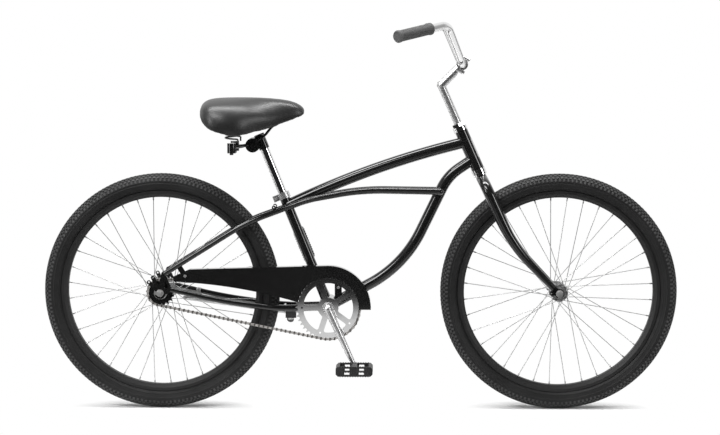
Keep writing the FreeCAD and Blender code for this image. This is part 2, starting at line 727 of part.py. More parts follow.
def hub_shell(centre, barrel, bore, flange_offset, flange_radius, hole_radius, cup, cup_floor, end):
    near = flange_offset - FLANGE_THICKNESS / 2
    far = flange_offset + FLANGE_THICKNESS / 2
    outside = [(barrel, near), (flange_radius, near), (flange_radius, far)]
    outside += [(cup + HUB_WALL, far), (cup + HUB_WALL, end)]
    inside = [(cup, end), (cup, cup_floor), (bore, cup_floor)]
    half = outside + inside
    whole = half + [(radius, -left) for radius, left in reversed(half)]
    solid = turned(whole, centre, LEFT)
    tools = []
    for side, lead, hub_angle, elbow, seat in spoke_lines(centre, flange_offset, hole_radius):
        start = polar(centre, hole_radius, hub_angle, side * (near - CUT_OVER))
        end_point = polar(centre, hole_radius, hub_angle, side * (far + CUT_OVER))
        tools.append(cylinder(SPOKE_RADIUS + HOLE_FIT, start, end_point))
    return solid.cut(tools)


def wheel(name, centre, valve_angle, hub):
    flange_offset = hub["flange_offset"]
    hole_radius = hub["hole_radius"]
    return {
        name + "_tyre": [tyre(centre)],
        name + "_inner_tube": [inner_tube(centre, valve_angle)],
        name + "_rim": [rim(centre, valve_angle, flange_offset, hole_radius)],
        name + "_spokes": spokes_and_nipples(centre, flange_offset, hole_radius),
        name + "_hub_shell": [hub_shell(centre, **hub)],
    }


FRONT_HUB = {
    "barrel": FRONT_BARREL_RADIUS, "bore": FRONT_BORE_RADIUS, "flange_offset": FRONT_FLANGE_OFFSET,
    "flange_radius": FRONT_FLANGE_RADIUS, "hole_radius": FRONT_HOLE_RADIUS, "cup": FRONT_CUP_RADIUS,
    "cup_floor": FRONT_CUP_FLOOR, "end": FRONT_SHELL_END,
}
REAR_HUB = {
    "barrel": REAR_BARREL_RADIUS, "bore": REAR_BORE_RADIUS, "flange_offset": REAR_FLANGE_OFFSET,
    "flange_radius": REAR_FLANGE_RADIUS, "hole_radius": REAR_HOLE_RADIUS, "cup": REAR_CUP_RADIUS,
    "cup_floor": REAR_CUP_FLOOR, "end": REAR_SHELL_END,
}


def axle_nuts(centre, plate_outside):
    solids = []
    for side in (-1, 1):
        washer_start = centre + LEFT * (side * plate_outside)
        nut_start = washer_start + LEFT * (side * AXLE_WASHER_THICKNESS)
        nut_end = nut_start + LEFT * (side * AXLE_NUT_HEIGHT)
        bore = AXLE_RADIUS + SLIP_FIT
        solids.append(ring(AXLE_WASHER_RADIUS, bore, washer_start, nut_start))
        solids.append(hex_prism(AXLE_NUT_ACROSS, nut_start, nut_end).cut(cylinder(bore, nut_start, nut_end)))
    return solids


def front_hub_insides():
    """Cones with their lock nuts, and the balls that run on them."""
    ball_radius = (FRONT_CUP_RADIUS - FRONT_CONE_RADIUS) / 2 - BALL_FIT
    track = (FRONT_CUP_RADIUS + FRONT_CONE_RADIUS) / 2
    ball_place = FRONT_CUP_FLOOR + ball_radius + BALL_FIT
    bore = AXLE_RADIUS + SLIP_FIT
    half = FRONT_HUB_WIDTH / 2
    flange = FRONT_SHELL_END + FACE_GAP
    solids = []
    for side in (-1, 1):
        profile = [(bore, FRONT_CUP_FLOOR), (FRONT_CONE_RADIUS, FRONT_CUP_FLOOR), (FRONT_CONE_RADIUS, flange)]
        profile += [(FRONT_CUP_RADIUS, flange), (FRONT_CUP_RADIUS, half), (bore, half)]
        solids.append(turned(profile, FRONT_AXLE, LEFT * side))
        solids += balls(FRONT_BALL_COUNT, ball_radius, track, FRONT_AXLE + LEFT * (side * ball_place), LEFT)
    return solids


# Rear hub insides, brake arm and sprocket

def coaster_brake():
    ball_radius = (REAR_CUP_RADIUS - REAR_CONE_RADIUS) / 2 - BALL_FIT
    track = (REAR_CUP_RADIUS + REAR_CONE_RADIUS) / 2
    ball_place = REAR_CUP_FLOOR + ball_radius + BALL_FIT
    bore = AXLE_RADIUS + SLIP_FIT
    half = REAR_HUB_WIDTH / 2
    arm = brake_arm_plane()
    shoe_end = REAR_CUP_FLOOR - BRAKE_SHOE_GAP
    shoe_start = shoe_end - BRAKE_SHOE_LENGTH
    cone_nose = BRAKE_SHOE_BORE - BALL_FIT
    profile = [(bore, shoe_start), (cone_nose, shoe_start), (cone_nose, shoe_end)]
    profile += [(REAR_CONE_RADIUS, shoe_end), (REAR_CONE_RADIUS, arm), (bore, arm)]
    brake_cone = turned(profile, REAR_AXLE, LEFT)
    lock_start = REAR_AXLE + LEFT * (arm + BRAKE_ARM_THICKNESS)
    lock_nut = ring(REAR_CONE_RADIUS, bore, lock_start, REAR_AXLE + LEFT * half)
    right_start = REAR_AXLE - LEFT * (half - RIGHT_CONE_LENGTH)
    right_cone = ring(RIGHT_CONE_RADIUS, bore, right_start, REAR_AXLE - LEFT * half)
    shoe_low = REAR_AXLE + LEFT * shoe_start
    shoe_high = REAR_AXLE + LEFT * shoe_end
    shoes = ring(BRAKE_SHOE_RADIUS, BRAKE_SHOE_BORE, shoe_low, shoe_high)
    slot_reach = Vector(BRAKE_SHOE_SPLIT / 2, half, REAR_CUP_RADIUS)
    shoe_solids = shoes.cut(box(REAR_AXLE - slot_reach, REAR_AXLE + slot_reach)).Solids
    screw_tip = REAR_AXLE + LEFT * (DRIVER_SCREW_LENGTH - REAR_CUP_FLOOR)
    expander_start = screw_tip - LEFT * BRAKE_EXPANDER_LENGTH
    expander = ring(BRAKE_SHOE_BORE, DRIVER_SCREW_RADIUS + RUN_FIT, expander_start, screw_tip)
    solids = [brake_cone, lock_nut, right_cone, expander] + shoe_solids
    for side in (-1, 1):
        solids += balls(REAR_BALL_COUNT, ball_radius, track, REAR_AXLE + LEFT * (side * ball_place), LEFT)
    return solids


def brake_arm_plane():
    """Distance from the wheel's middle plane to the arm's inner face."""
    return REAR_SHELL_END + HUB_WALL + BRAKE_ARM_GAP


def brake_clip_point():
    return REAR_AXLE + Vector(BRAKE_ARM_REACH, 0, -BRAKE_ARM_DROP)


def brake_arm(chainstay_path):
    plane = brake_arm_plane()
    hub_end = REAR_AXLE + LEFT * plane
    clip_end = brake_clip_point() + LEFT * plane
    arm = capsule_plate(hub_end, clip_end, BRAKE_ARM_RADIUS, BRAKE_ARM_THICKNESS)
    arm = arm.fuse(cylinder(REAR_CONE_RADIUS, hub_end, hub_end + LEFT * BRAKE_ARM_THICKNESS))
    under = LEFT * CUT_OVER
    over = LEFT * (BRAKE_ARM_THICKNESS + BRAKE_CLIP_WALL + CUT_OVER)
    arm = arm.cut(cylinder(AXLE_RADIUS + SLIP_FIT, hub_end - under, hub_end + over))
    screw_hole = cylinder(SCREW_RADIUS + HOLE_FIT, clip_end - under, clip_end + over)
    arm = arm.cut(screw_hole)
    stay_point, stay_along, stay_radius = chainstay_at(chainstay_path, clip_end.x)
    half = stay_along * (BRAKE_CLIP_WIDTH / 2)
    band_inner = stay_radius + FACE_GAP
    band = ring(band_inner + BRAKE_CLIP_WALL, band_inner, stay_point - half, stay_point + half)
    ear_start = clip_end + LEFT * BRAKE_ARM_THICKNESS
    ear_top = Vector(stay_point.x, ear_start.y, stay_point.z)
    ear = capsule_plate(ear_start, ear_top, BRAKE_CLIP_WIDTH / 2, BRAKE_CLIP_WALL)
    stay_room = cylinder(band_inner, stay_point - half * 3, stay_point + half * 3)
    clip = band.fuse(ear.cut(screw_hole)).cut(stay_room)
    return [arm, clip]


def chainstay_at(path, x):
    """Point, direction and tube radius of the chainstay where it passes x."""
    points = path.discretize(PATH_SAMPLES)
    index = min(range(1, PATH_SAMPLES - 1), key=lambda place: abs(points[place].x - x))
    share = index / (PATH_SAMPLES - 1)
    radius = CHAINSTAY_RADIUS + (CHAINSTAY_END_RADIUS - CHAINSTAY_RADIUS) * share
    return points[index], unit(points[index + 1] - points[index - 1]), radius


def tooth_outline(teeth, centre, first_angle):
    """Sprocket outline: a round seat for each roller and straight flanks up to the tips."""
    radius = pitch_radius(teeth)
    step = 2 * math.pi / teeth
    seat = ROLLER_RADIUS + ROLLER_FIT
    tip_radius = radius + TOOTH_RISE
    tip_turn = TOOTH_TIP / 2 / tip_radius
    reach = math.radians(TOOTH_SEAT_HALF)

    def at(distance, angle):
        return centre + Vector(distance * math.cos(angle), 0, distance * math.sin(angle))

    edges = []
    for index in range(teeth):
        angle = first_angle + index * step
        outward = Vector(math.cos(angle), 0, math.sin(angle))
        onward = Vector(-math.sin(angle), 0, math.cos(angle))
        middle = at(radius, angle)
        low = middle - onward * (seat * math.sin(reach)) - outward * (seat * math.cos(reach))
        high = middle + onward * (seat * math.sin(reach)) - outward * (seat * math.cos(reach))
        tip_start = at(tip_radius, angle + step / 2 - tip_turn)
        tip_end = at(tip_radius, angle + step / 2 + tip_turn)
        next_outward = Vector(math.cos(angle + step), 0, math.sin(angle + step))
        next_onward = Vector(-math.sin(angle + step), 0, math.cos(angle + step))
        next_low = at(radius, angle + step) - next_onward * (seat * math.sin(reach))
        next_low = next_low - next_outward * (seat * math.cos(reach))
        edges.append(Part.Arc(low, middle - outward * seat, high).toShape())
        edges.append(Part.LineSegment(high, tip_start).toShape())
        edges.append(Part.LineSegment(tip_start, tip_end).toShape())
        edges.append(Part.LineSegment(tip_end, next_low).toShape())
    return Part.Wire(edges)


def sprocket_blank(teeth, centre, first_angle):
    start = centre - LEFT * (CHAIN_LINE + TOOTH_THICKNESS / 2)
    return Part.Face(tooth_outline(teeth, start, first_angle)).extrude(LEFT * TOOTH_THICKNESS)


def rear_sprocket():
    away = math.atan2(TO_REAR.z, TO_REAR.x)
    half_step = math.pi / SPROCKET_TEETH
    first_angle = away + half_step * (ROLLERS_ON_SMALL - 1)
    blank = sprocket_blank(SPROCKET_TEETH, REAR_AXLE, first_angle)
    far = LEFT * (CHAIN_LINE * 2)
    return blank.cut(cylinder(DRIVER_SEAT_RADIUS + SLIP_FIT, REAR_AXLE - far, REAR_AXLE + far))


def rear_driver():
    bore = AXLE_RADIUS + RUN_FIT
    inner_face = CHAIN_LINE - TOOTH_THICKNESS / 2
    outer_face = CHAIN_LINE + TOOTH_THICKNESS / 2
    end = REAR_HUB_WIDTH / 2 - RIGHT_CONE_LENGTH - FACE_GAP
    screw_tip = REAR_CUP_FLOOR - DRIVER_SCREW_LENGTH
    profile = [(bore, screw_tip), (DRIVER_SCREW_RADIUS, screw_tip), (DRIVER_SCREW_RADIUS, REAR_CUP_FLOOR)]
    profile += [(REAR_CONE_RADIUS, REAR_CUP_FLOOR), (REAR_CONE_RADIUS, REAR_SHELL_END + FACE_GAP)]
    shoulder = DRIVER_SEAT_RADIUS + HUB_WALL
    profile += [(shoulder, REAR_SHELL_END + FACE_GAP), (shoulder, inner_face)]
    profile += [(DRIVER_SEAT_RADIUS, inner_face), (DRIVER_SEAT_RADIUS, end), (bore, end)]
    body = turned(profile, REAR_AXLE, LEFT * -1)
    snap_start = REAR_AXLE - LEFT * outer_face
    snap_end = snap_start - LEFT * SNAP_RING_WIDTH
    seat = DRIVER_SEAT_RADIUS + SLIP_FIT
    snap_ring = ring(DRIVER_SEAT_RADIUS + SNAP_RING_WALL, seat, snap_start, snap_end)
    return [body, snap_ring]


# Crank, chainring, pedals and chain

def chainring():
    away = math.atan2(-TO_REAR.z, -TO_REAR.x)
    half_step = math.pi / CHAINRING_TEETH
    blank = sprocket_blank(CHAINRING_TEETH, BB, away + half_step * (ROLLERS_ON_BIG - 1))
    start = BB - LEFT * (CHAIN_LINE + TOOTH_THICKNESS)
    end = BB - LEFT * (CHAIN_LINE - TOOTH_THICKNESS)
    windows = ring(CHAINRING_WINDOW_RADIUS, CHAINRING_HUB_RADIUS, start, end)
    holes = []
    for index in range(CHAINRING_ARMS):
        degrees = 180 + index * 360 / CHAINRING_ARMS
        arm = Part.makeBox(2 * CHAINRING_WINDOW_RADIUS, 4 * TOOTH_THICKNESS, CHAINRING_ARM_WIDTH,
                           Vector(0, -2 * TOOTH_THICKNESS, -CHAINRING_ARM_WIDTH / 2))
        arm.rotate(ZERO, Vector(0, -1, 0), degrees)
        arm.translate((start + end) * 0.5)
        windows = windows.cut(arm)
        holes.append(cylinder(CHAINRING_HOLE_RADIUS, polar(start, CHAINRING_HOLE_CIRCLE, degrees),
                              polar(end, CHAINRING_HOLE_CIRCLE, degrees)))
    rounded = []
    for window in windows.Solids:
        rounded.append(window.makeFillet(CHAINRING_CORNER, crosswise_edges(window)))
    centre_hole = cylinder(CRANK_SPINDLE_RADIUS + SLIP_FIT, start, end)
    pin = BB + CRANK_DOWN * DRIVE_PIN_CIRCLE
    pin_hole = cylinder(DRIVE_PIN_RADIUS + HOLE_FIT, pin - LEFT * CRANK_ELBOW_OFFSET, pin)
    return blank.cut(rounded + holes + [centre_hole, pin_hole])


def crank_eye(side):
    return BB + CRANK_DOWN * (-side * CRANK_LENGTH) + LEFT * (side * CRANK_EYE_OFFSET)


def crank():
    elbow_right = BB - LEFT * CRANK_ELBOW_OFFSET
    elbow_left = BB + LEFT * CRANK_ELBOW_OFFSET
    solid = cylinder(CRANK_SPINDLE_RADIUS, elbow_right, elbow_left)
    for side, elbow in ((-1, elbow_right), (1, elbow_left)):
        eye = crank_eye(side)
        arm = Part.makeCone(CRANK_ARM_RADIUS, CRANK_TIP_RADIUS, (eye - elbow).Length, elbow, eye - elbow)
        half = LEFT * (CRANK_EYE_WIDTH / 2)
        knee = Part.makeSphere(CRANK_ELBOW_RADIUS, elbow)
        solid = solid.fuse([knee, arm, cylinder(CRANK_EYE_RADIUS, eye - half, eye + half)])
        solid = solid.cut(cylinder(PEDAL_THREAD_RADIUS + SLIP_FIT, eye - half * 2, eye + half * 2))
    outer_face = CHAIN_LINE + TOOTH_THICKNESS / 2
    inner_face = CHAIN_LINE - TOOTH_THICKNESS / 2
    collar = cylinder(CRANK_COLLAR_RADIUS, BB - LEFT * outer_face, BB - LEFT * (outer_face + TOOTH_THICKNESS))
    pin = BB + CRANK_DOWN * DRIVE_PIN_CIRCLE
    drive_pin = cylinder(DRIVE_PIN_RADIUS, pin - LEFT * inner_face, pin - LEFT * CRANK_ELBOW_OFFSET)
    return solid.fuse([collar, drive_pin])


def crank_cones():
    """Bearing cones on both sides of the spindle, and the lock nut on the left."""
    bore = CRANK_SPINDLE_RADIUS + SLIP_FIT
    shell_face = BB_SHELL_WIDTH / 2 + BB_CUP_FLANGE
    inner = BB_SHELL_WIDTH / 2 - BB_CUP_DEPTH
    outer = shell_face + FACE_GAP
    ring_face = CHAIN_LINE - TOOTH_THICKNESS / 2
    solids = []
    for side in (-1, 1):
        profile = [(bore, inner), (BB_CONE_TRACK, inner), (BB_CONE_TRACK, outer), (BB_CUP_TRACK, outer)]
        profile += [(BB_CUP_TRACK, ring_face), (bore, ring_face)]
        solids.append(turned(profile, BB, LEFT * side))
    nut_start = BB + LEFT * ring_face
    nut_end = nut_start + LEFT * (2 * TOOTH_THICKNESS)
    nut = hex_prism(2 * CRANK_COLLAR_RADIUS, nut_start, nut_end)
    solids.append(nut.cut(cylinder(bore, nut_start, nut_end)))
    return solids


def pedal_start(side):
    """Inner face of a pedal, outside the crank eye and the spindle's collar."""
    return crank_eye(side) + LEFT * (side * (CRANK_EYE_WIDTH / 2 + PEDAL_COLLAR_LENGTH + FACE_GAP))


def pedal_spindle(side):
    eye = crank_eye(side)
    out = LEFT * side
    thread_start = eye - out * (CRANK_EYE_WIDTH / 2)
    collar_start = eye + out * (CRANK_EYE_WIDTH / 2)
    collar_end = collar_start + out * PEDAL_COLLAR_LENGTH
    shaft_end = pedal_start(side) + out * (PEDAL_WIDTH - PEDAL_END_PLATE / 2)
    spindle = cylinder(PEDAL_THREAD_RADIUS, thread_start, collar_start)
    return spindle.fuse([cylinder(PEDAL_COLLAR_RADIUS, collar_start, collar_end),
                         cylinder(PEDAL_SHAFT_RADIUS, collar_end, shaft_end)])


def pedal(side, turn):
    """Resin platform: end plates with windows, side bars and a barrel round the spindle."""
    half_length = PEDAL_LENGTH / 2
    half_height = PEDAL_HEIGHT / 2
    block = box(Vector(-half_length, 0, -half_height), Vector(half_length, PEDAL_WIDTH, half_height))
    block = block.makeChamfer(PEDAL_CHAMFER, crosswise_edges(block))
    tools = []
    for fore in (-1, 1):
        near = fore * PEDAL_HUB_HALF
        far = fore * (half_length - PEDAL_SIDE_BAR)
        over = half_height + CUT_OVER
        tools.append(box(Vector(min(near, far), PEDAL_END_PLATE, -over),
                         Vector(max(near, far), PEDAL_WIDTH - PEDAL_END_PLATE, over)))
        for row in (-1, 1):
            middle = Vector(fore * PEDAL_WINDOW_OFFSET, 0, row * PEDAL_WINDOW_PITCH / 2)
            reach = Vector(PEDAL_WINDOW_LENGTH / 2, 0, PEDAL_WINDOW_HEIGHT / 2)
            far_end = middle + reach + LEFT * (PEDAL_WIDTH + CUT_OVER)
            tools.append(box(middle - reach - LEFT * CUT_OVER, far_end))
    block = block.cut(tools)
    block = block.fuse(cylinder(PEDAL_BARREL_RADIUS, ZERO, LEFT * PEDAL_WIDTH))
    bore_end = LEFT * (PEDAL_WIDTH - PEDAL_END_PLATE / 2 + FACE_GAP)
    block = block.cut(cylinder(PEDAL_SHAFT_RADIUS + RUN_FIT, LEFT * -CUT_OVER, bore_end))
    block.rotate(ZERO, Vector(0, -1, 0), turn)
    if side < 0:
        block = mirrored(block)
    block.translate(pedal_start(side))
    return block


def chain_pins():
    """Chain pin centres in order, going once round both sprockets."""
    big = pitch_radius(CHAINRING_TEETH)
    small = pitch_radius(SPROCKET_TEETH)
    away = math.atan2(TO_REAR.z, TO_REAR.x)
    plane = LEFT * -CHAIN_LINE
    pins = []
    for index in range(ROLLERS_ON_BIG):
        turn = (index - (ROLLERS_ON_BIG - 1) / 2) * 2 * math.pi / CHAINRING_TEETH
        angle = away + math.pi + turn
        pins.append(BB + plane + Vector(big * math.cos(angle), 0, big * math.sin(angle)))
    wrap = []
    for index in range(ROLLERS_ON_SMALL):
        turn = (index - (ROLLERS_ON_SMALL - 1) / 2) * 2 * math.pi / SPROCKET_TEETH
        angle = away + turn
        wrap.append(REAR_AXLE + plane + Vector(small * math.cos(angle), 0, small * math.sin(angle)))
    first_run = [pins[-1] + (wrap[0] - pins[-1]) * (step / RUN_PITCHES) for step in range(1, RUN_PITCHES)]
    second_run = [wrap[-1] + (pins[0] - wrap[-1]) * (step / RUN_PITCHES) for step in range(1, RUN_PITCHES)]
    return pins + first_run + wrap + second_run


def chain_plate(start):
    """Plate of one link, drawn in between its two round ends, growing along +Y from start."""
    turn = math.radians(CHAIN_PLATE_TURN)
    near = CHAIN_PLATE_RADIUS * math.cos(turn)
    high = CHAIN_PLATE_RADIUS * math.sin(turn)

    def spot(along, up):
        return Vector(along, start, up)

    middle = CHAIN_PITCH / 2
    far = CHAIN_PITCH - near
    tip = CHAIN_PITCH + CHAIN_PLATE_RADIUS
    outline = Part.Wire([
        Part.Arc(spot(near, high), spot(middle, CHAIN_PLATE_WAIST), spot(far, high)).toShape(),
        Part.Arc(spot(far, high), spot(tip, 0), spot(far, -high)).toShape(),
        Part.Arc(spot(far, -high), spot(middle, -CHAIN_PLATE_WAIST), spot(near, -high)).toShape(),
        Part.Arc(spot(near, -high), spot(-CHAIN_PLATE_RADIUS, 0), spot(near, high)).toShape(),
    ])
    return Part.Face(outline).extrude(LEFT * CHAIN_PLATE)


def chain_link(inner):
    """One link along +X from its first pin at the origin, with the chain's width along Y."""
    far = Vector(CHAIN_PITCH, 0, 0)
    near_face = CHAIN_INNER_WIDTH / 2
    if not inner:
        near_face += CHAIN_PLATE + CHAIN_PLATE_GAP
    plates = [chain_plate(near_face), chain_plate(-near_face - CHAIN_PLATE)]
    half = CHAIN_INNER_WIDTH / 2 if inner else near_face + CHAIN_PLATE + CHAIN_PIN_PROUD
    radius = ROLLER_RADIUS if inner else CHAIN_PIN_RADIUS
    cross_pieces = [cylinder(radius, place - LEFT * half, place + LEFT * half) for place in (ZERO, far)]
    link = plates[0].fuse(plates[1:] + cross_pieces)
    if inner:
        reach = LEFT * (2 * CHAIN_INNER_WIDTH)
        bore = CHAIN_PIN_RADIUS + RUN_FIT
        link = link.cut([cylinder(bore, place - reach, place + reach) for place in (ZERO, far)])
    return link


def chain():
    pins = chain_pins()
    kinds = [chain_link(True), chain_link(False)]
    links = []
    for index, pin in enumerate(pins):
        following = pins[(index + 1) % len(pins)]
        along = following - pin
        link = kinds[index % 2].copy()
        angle = math.degrees(math.atan2(along.z, along.x))
        link.Placement = FreeCAD.Placement(pin, FreeCAD.Rotation(Vector(0, -1, 0), angle))
        links.append(link)
    return links


# Frame

def stay_path():
    """Left stay tube, from the down tube past the seat tube to the rear dropout."""
    upper, lower = down_tube_bends()
    front = upper + unit(lower - upper) * STAY_FRONT_AT
    seat = on_seat_tube(STAY_ON_SEAT)
    beside_down_tube = MAIN_TUBE_RADIUS + STAY_RADIUS - STAY_FRONT_SINK
    beside_seat_tube = SEAT_TUBE_RADIUS + STAY_RADIUS - STAY_SEAT_SINK
    beside_tyre = TYRE_SECTION / 2 + STAY_RADIUS + STAY_TYRE_GAP
    return [
        front + LEFT * beside_down_tube,
        front + Vector(-STAY_FRONT_BEND[0], beside_seat_tube, STAY_FRONT_BEND[1]),
        seat + Vector(STAY_SEAT_BEND[0], beside_seat_tube, STAY_SEAT_BEND[1]),
        seat + LEFT * beside_seat_tube,
        seat + Vector(-STAY_REAR_BEND[0], beside_tyre, -STAY_REAR_BEND[1]),
        REAR_AXLE + Vector(STAY_END[0], dropout_middle(), STAY_END[1]),
    ]


def dropout_middle():
    return REAR_HUB_WIDTH / 2 + DROPOUT_THICKNESS / 2


def chainstay_path():
    """Left chainstay, from the bottom bracket shell to the rear dropout."""
    beside_tyre = TYRE_SECTION / 2 + CHAINSTAY_RADIUS + STAY_TYRE_GAP
    rear = REAR_AXLE + Vector(CHAINSTAY_END[0], dropout_middle(), CHAINSTAY_END[1])
    rear_bend = BB + Vector(-CHAINSTAY_TYRE_BEND[0] - CHAINSTAY_REAR_BEND[0], 0, CHAINSTAY_REAR_BEND[1])
    return [
        BB + LEFT * CHAINSTAY_AT_SHELL,
        BB + Vector(-CHAINSTAY_RING_BEND[0], CHAINSTAY_RING_OFFSET, -CHAINSTAY_RING_BEND[1]),
        BB + Vector(-CHAINSTAY_TYRE_BEND[0], beside_tyre, -CHAINSTAY_TYRE_BEND[1]),
        rear_bend + LEFT * ((beside_tyre + dropout_middle()) / 2),
        rear,
    ]


def down_tube_bends():
    start = on_fork(LOWER_STACK + DOWN_TUBE_ON_HEAD)
    upper = start - Vector(DOWN_TUBE_UPPER_BEND[0], 0, DOWN_TUBE_UPPER_BEND[1])
    lower = BB + Vector(DOWN_TUBE_LOWER_BEND[0], 0, DOWN_TUBE_LOWER_BEND[1])
    return upper, lower


def rear_dropout():
    """Left plate: round the axle, with arms to both stays, two eyelets and a slot open to the rear."""
    inner = LEFT * (REAR_HUB_WIDTH / 2)
    axle = REAR_AXLE + inner
    stay_end = REAR_AXLE + inner + Vector(STAY_END[0], 0, STAY_END[1])
    chainstay_end = REAR_AXLE + inner + Vector(CHAINSTAY_END[0], 0, CHAINSTAY_END[1])
    plate = cylinder(DROPOUT_RADIUS, axle, axle + LEFT * DROPOUT_THICKNESS)
    arms = [capsule_plate(axle, stay_end, DROPOUT_ARM_RADIUS, DROPOUT_THICKNESS)]
    arms.append(capsule_plate(axle, chainstay_end, DROPOUT_ARM_RADIUS, DROPOUT_THICKNESS))
    arms.append(capsule_plate(stay_end, chainstay_end, DROPOUT_ARM_RADIUS / 2, DROPOUT_THICKNESS))
    holes = []
    for back, up in REAR_EYELETS:
        eyelet = axle + Vector(-back, 0, up)
        arms.append(capsule_plate(axle, eyelet, EYELET_RADIUS, DROPOUT_THICKNESS))
        over = LEFT * (DROPOUT_THICKNESS + CUT_OVER)
        holes.append(cylinder(EYELET_BORE, eyelet - LEFT * CUT_OVER, eyelet + over))
    plate = plate.fuse(arms)
    slot_start = axle - LEFT * CUT_OVER
    slot_end = slot_start - Vector(2 * DROPOUT_RADIUS, 0, 0)
    slot = capsule_plate(slot_start, slot_end, DROPOUT_SLOT / 2, DROPOUT_THICKNESS + 2 * CUT_OVER)
    return plate.cut(holes + [slot])


def head_tube_outside():
    return cylinder(HEAD_TUBE_RADIUS, on_fork(LOWER_STACK), on_fork(HEAD_TOP))


def bb_shell_outside():
    half = LEFT * (BB_SHELL_WIDTH / 2)
    return cylinder(BB_SHELL_RADIUS, BB - half, BB + half)


def guard_lug(plane):
    """Tab on the down tube that the guard's front bracket is screwed to."""
    screw = BB + Vector(GUARD_BRACKET[0], 0, GUARD_BRACKET[1])
    half = GUARD_BRACKET_WIDTH / 2
    slope = DOWN_TUBE_LOWER_BEND[1] / DOWN_TUBE_LOWER_BEND[0]
    tube_height = BB.z + slope * GUARD_BRACKET[0]
    start = Vector(screw.x - half, plane, tube_height)
    upright = box(start, Vector(screw.x + half, plane + GUARD_LUG_THICKNESS, screw.z + half / 2))
    foot = box(start, Vector(screw.x + half, 0, tube_height + GUARD_LUG_THICKNESS))
    hole_start = Vector(screw.x, plane - CUT_OVER, screw.z)
    hole = cylinder(SCREW_RADIUS + HOLE_FIT, hole_start, Vector(screw.x, 0, screw.z))
    return upright.fuse(foot).cut(hole)


def guard_bracket_plane():
    """Left face of the guard's front bracket."""
    return -(GUARD_OFFSET - GUARD_LIP + GUARD_BRACKET_INSET)


def frame_tubes():
    head_outside = head_tube_outside()
    shell_outside = bb_shell_outside()
    seat_bottom = BB
    seat_top = on_seat_tube(SEAT_TUBE_LENGTH)
    seat_outside = cylinder(SEAT_TUBE_RADIUS, seat_bottom, seat_top)
    seat_bore = cylinder(POST_RADIUS + RUN_FIT, seat_bottom, seat_top)
    slit_low = on_seat_tube(SEAT_TUBE_LENGTH - SEAT_SLIT_LENGTH)
    slit_depth = SEAT_TUBE_RADIUS * 2
    slit_corner = Vector(-slit_depth, -SEAT_SLIT_WIDTH / 2, 0)
    slit = Part.makeBox(slit_depth, SEAT_SLIT_WIDTH, SEAT_SLIT_LENGTH * 2, slit_corner)
    slit.Placement = FreeCAD.Placement(slit_low, FreeCAD.Rotation(LEFT, -SEAT_LEAN))
    seat_tube = seat_outside.cut([seat_bore, shell_outside, slit])

    top_front = on_fork(LOWER_STACK + TOP_TUBE_ON_HEAD)
    top_rear = on_seat_tube(TOP_TUBE_ON_SEAT)
    chord = unit(top_front - top_rear)
    crown = (top_front + top_rear) * 0.5 + Vector(-chord.z, 0, chord.x) * TOP_TUBE_BOW
    top_path = Part.Wire([Part.Arc(top_rear, crown, top_front).toShape()])
    top_outside = swept(top_path, MAIN_TUBE_RADIUS)
    top_tube = top_outside.cut([swept(top_path, MAIN_TUBE_RADIUS - TUBE_WALL), head_outside, seat_outside])

    upper, lower = down_tube_bends()
    down_path = rounded_path([on_fork(LOWER_STACK + DOWN_TUBE_ON_HEAD), upper, lower, BB])
    down_outside = swept(down_path, MAIN_TUBE_RADIUS)
    down_bore = swept(down_path, MAIN_TUBE_RADIUS - TUBE_WALL)
    lug = guard_lug(guard_bracket_plane())
    down_tube = down_outside.fuse(lug).cut([down_bore, head_outside, shell_outside, seat_outside])

    head_tube = head_outside.cut(cylinder(HEAD_TUBE_BORE, on_fork(0), on_fork(HEAD_TOP + LOWER_STACK)))
    shell = shell_outside.cut(cylinder(BB_SHELL_BORE, BB - LEFT * BB_SHELL_WIDTH, BB + LEFT * BB_SHELL_WIDTH))

    dropout = rear_dropout()
    stay_wire = rounded_path(stay_path())
    stay_outside = swept(stay_wire, STAY_RADIUS, STAY_END_RADIUS)
    stay_bore = swept(stay_wire, STAY_RADIUS - STAY_WALL, STAY_END_RADIUS - STAY_WALL)
    stay_points = stay_path()
    nose_centre = stay_points[0] + unit(stay_points[1] - stay_points[0]) * STAY_NOSE_INSET
    nose = Part.makeSphere(STAY_NOSE_RADIUS, nose_centre)
    eyelet, eyelet_bore = stay_eyelet(stay_wire)
    main_tubes = [down_outside, seat_outside, top_outside]
    stay_tools = [stay_bore, eyelet_bore, dropout]
    stay_solid = stay_outside.fuse([nose, eyelet])
    left_stay = stay_solid.cut(stay_tools + main_tubes)
    right_stay = mirrored(stay_solid).fuse(guard_tab())
    right_stay = right_stay.cut([mirrored(tool) for tool in stay_tools] + main_tubes)

    chainstay_wire = rounded_path(chainstay_path())
    chainstay_outside = swept(chainstay_wire, CHAINSTAY_RADIUS, CHAINSTAY_END_RADIUS)
    chainstay_bore = swept(chainstay_wire, CHAINSTAY_RADIUS - STAY_WALL, CHAINSTAY_END_RADIUS - STAY_WALL)
    shell_end = BB + LEFT * (BB_SHELL_WIDTH / 2)
    cup_room = cylinder(BB_SHELL_RADIUS + FACE_GAP, shell_end, shell_end + LEFT * BB_SHELL_WIDTH)
    left_chainstay = chainstay_outside.cut([chainstay_bore, shell_outside, cup_room, dropout])

    bridges = [stay_bridge(stay_outside), chainstay_bridge(chainstay_outside)]
    return {
        "head_tube": [head_tube],
        "top_tube": [top_tube],
        "down_tube": [down_tube],
        "seat_tube": [seat_tube],
        "bottom_bracket_shell": [shell],
        "right_stay_tube": largest(right_stay),
        "left_stay_tube": largest(left_stay),
        "right_chainstay": largest(mirrored(left_chainstay)),
        "left_chainstay": largest(left_chainstay),
        "rear_dropouts": both_sides(dropout),
        "stay_bridges": bridges,
    }, chainstay_wire, chainstay_outside


def largest(shape):
    """The main solid of a cut tube, without the chips that a mitre leaves behind."""
    return [max(shape.Solids, key=lambda solid: solid.Volume)]


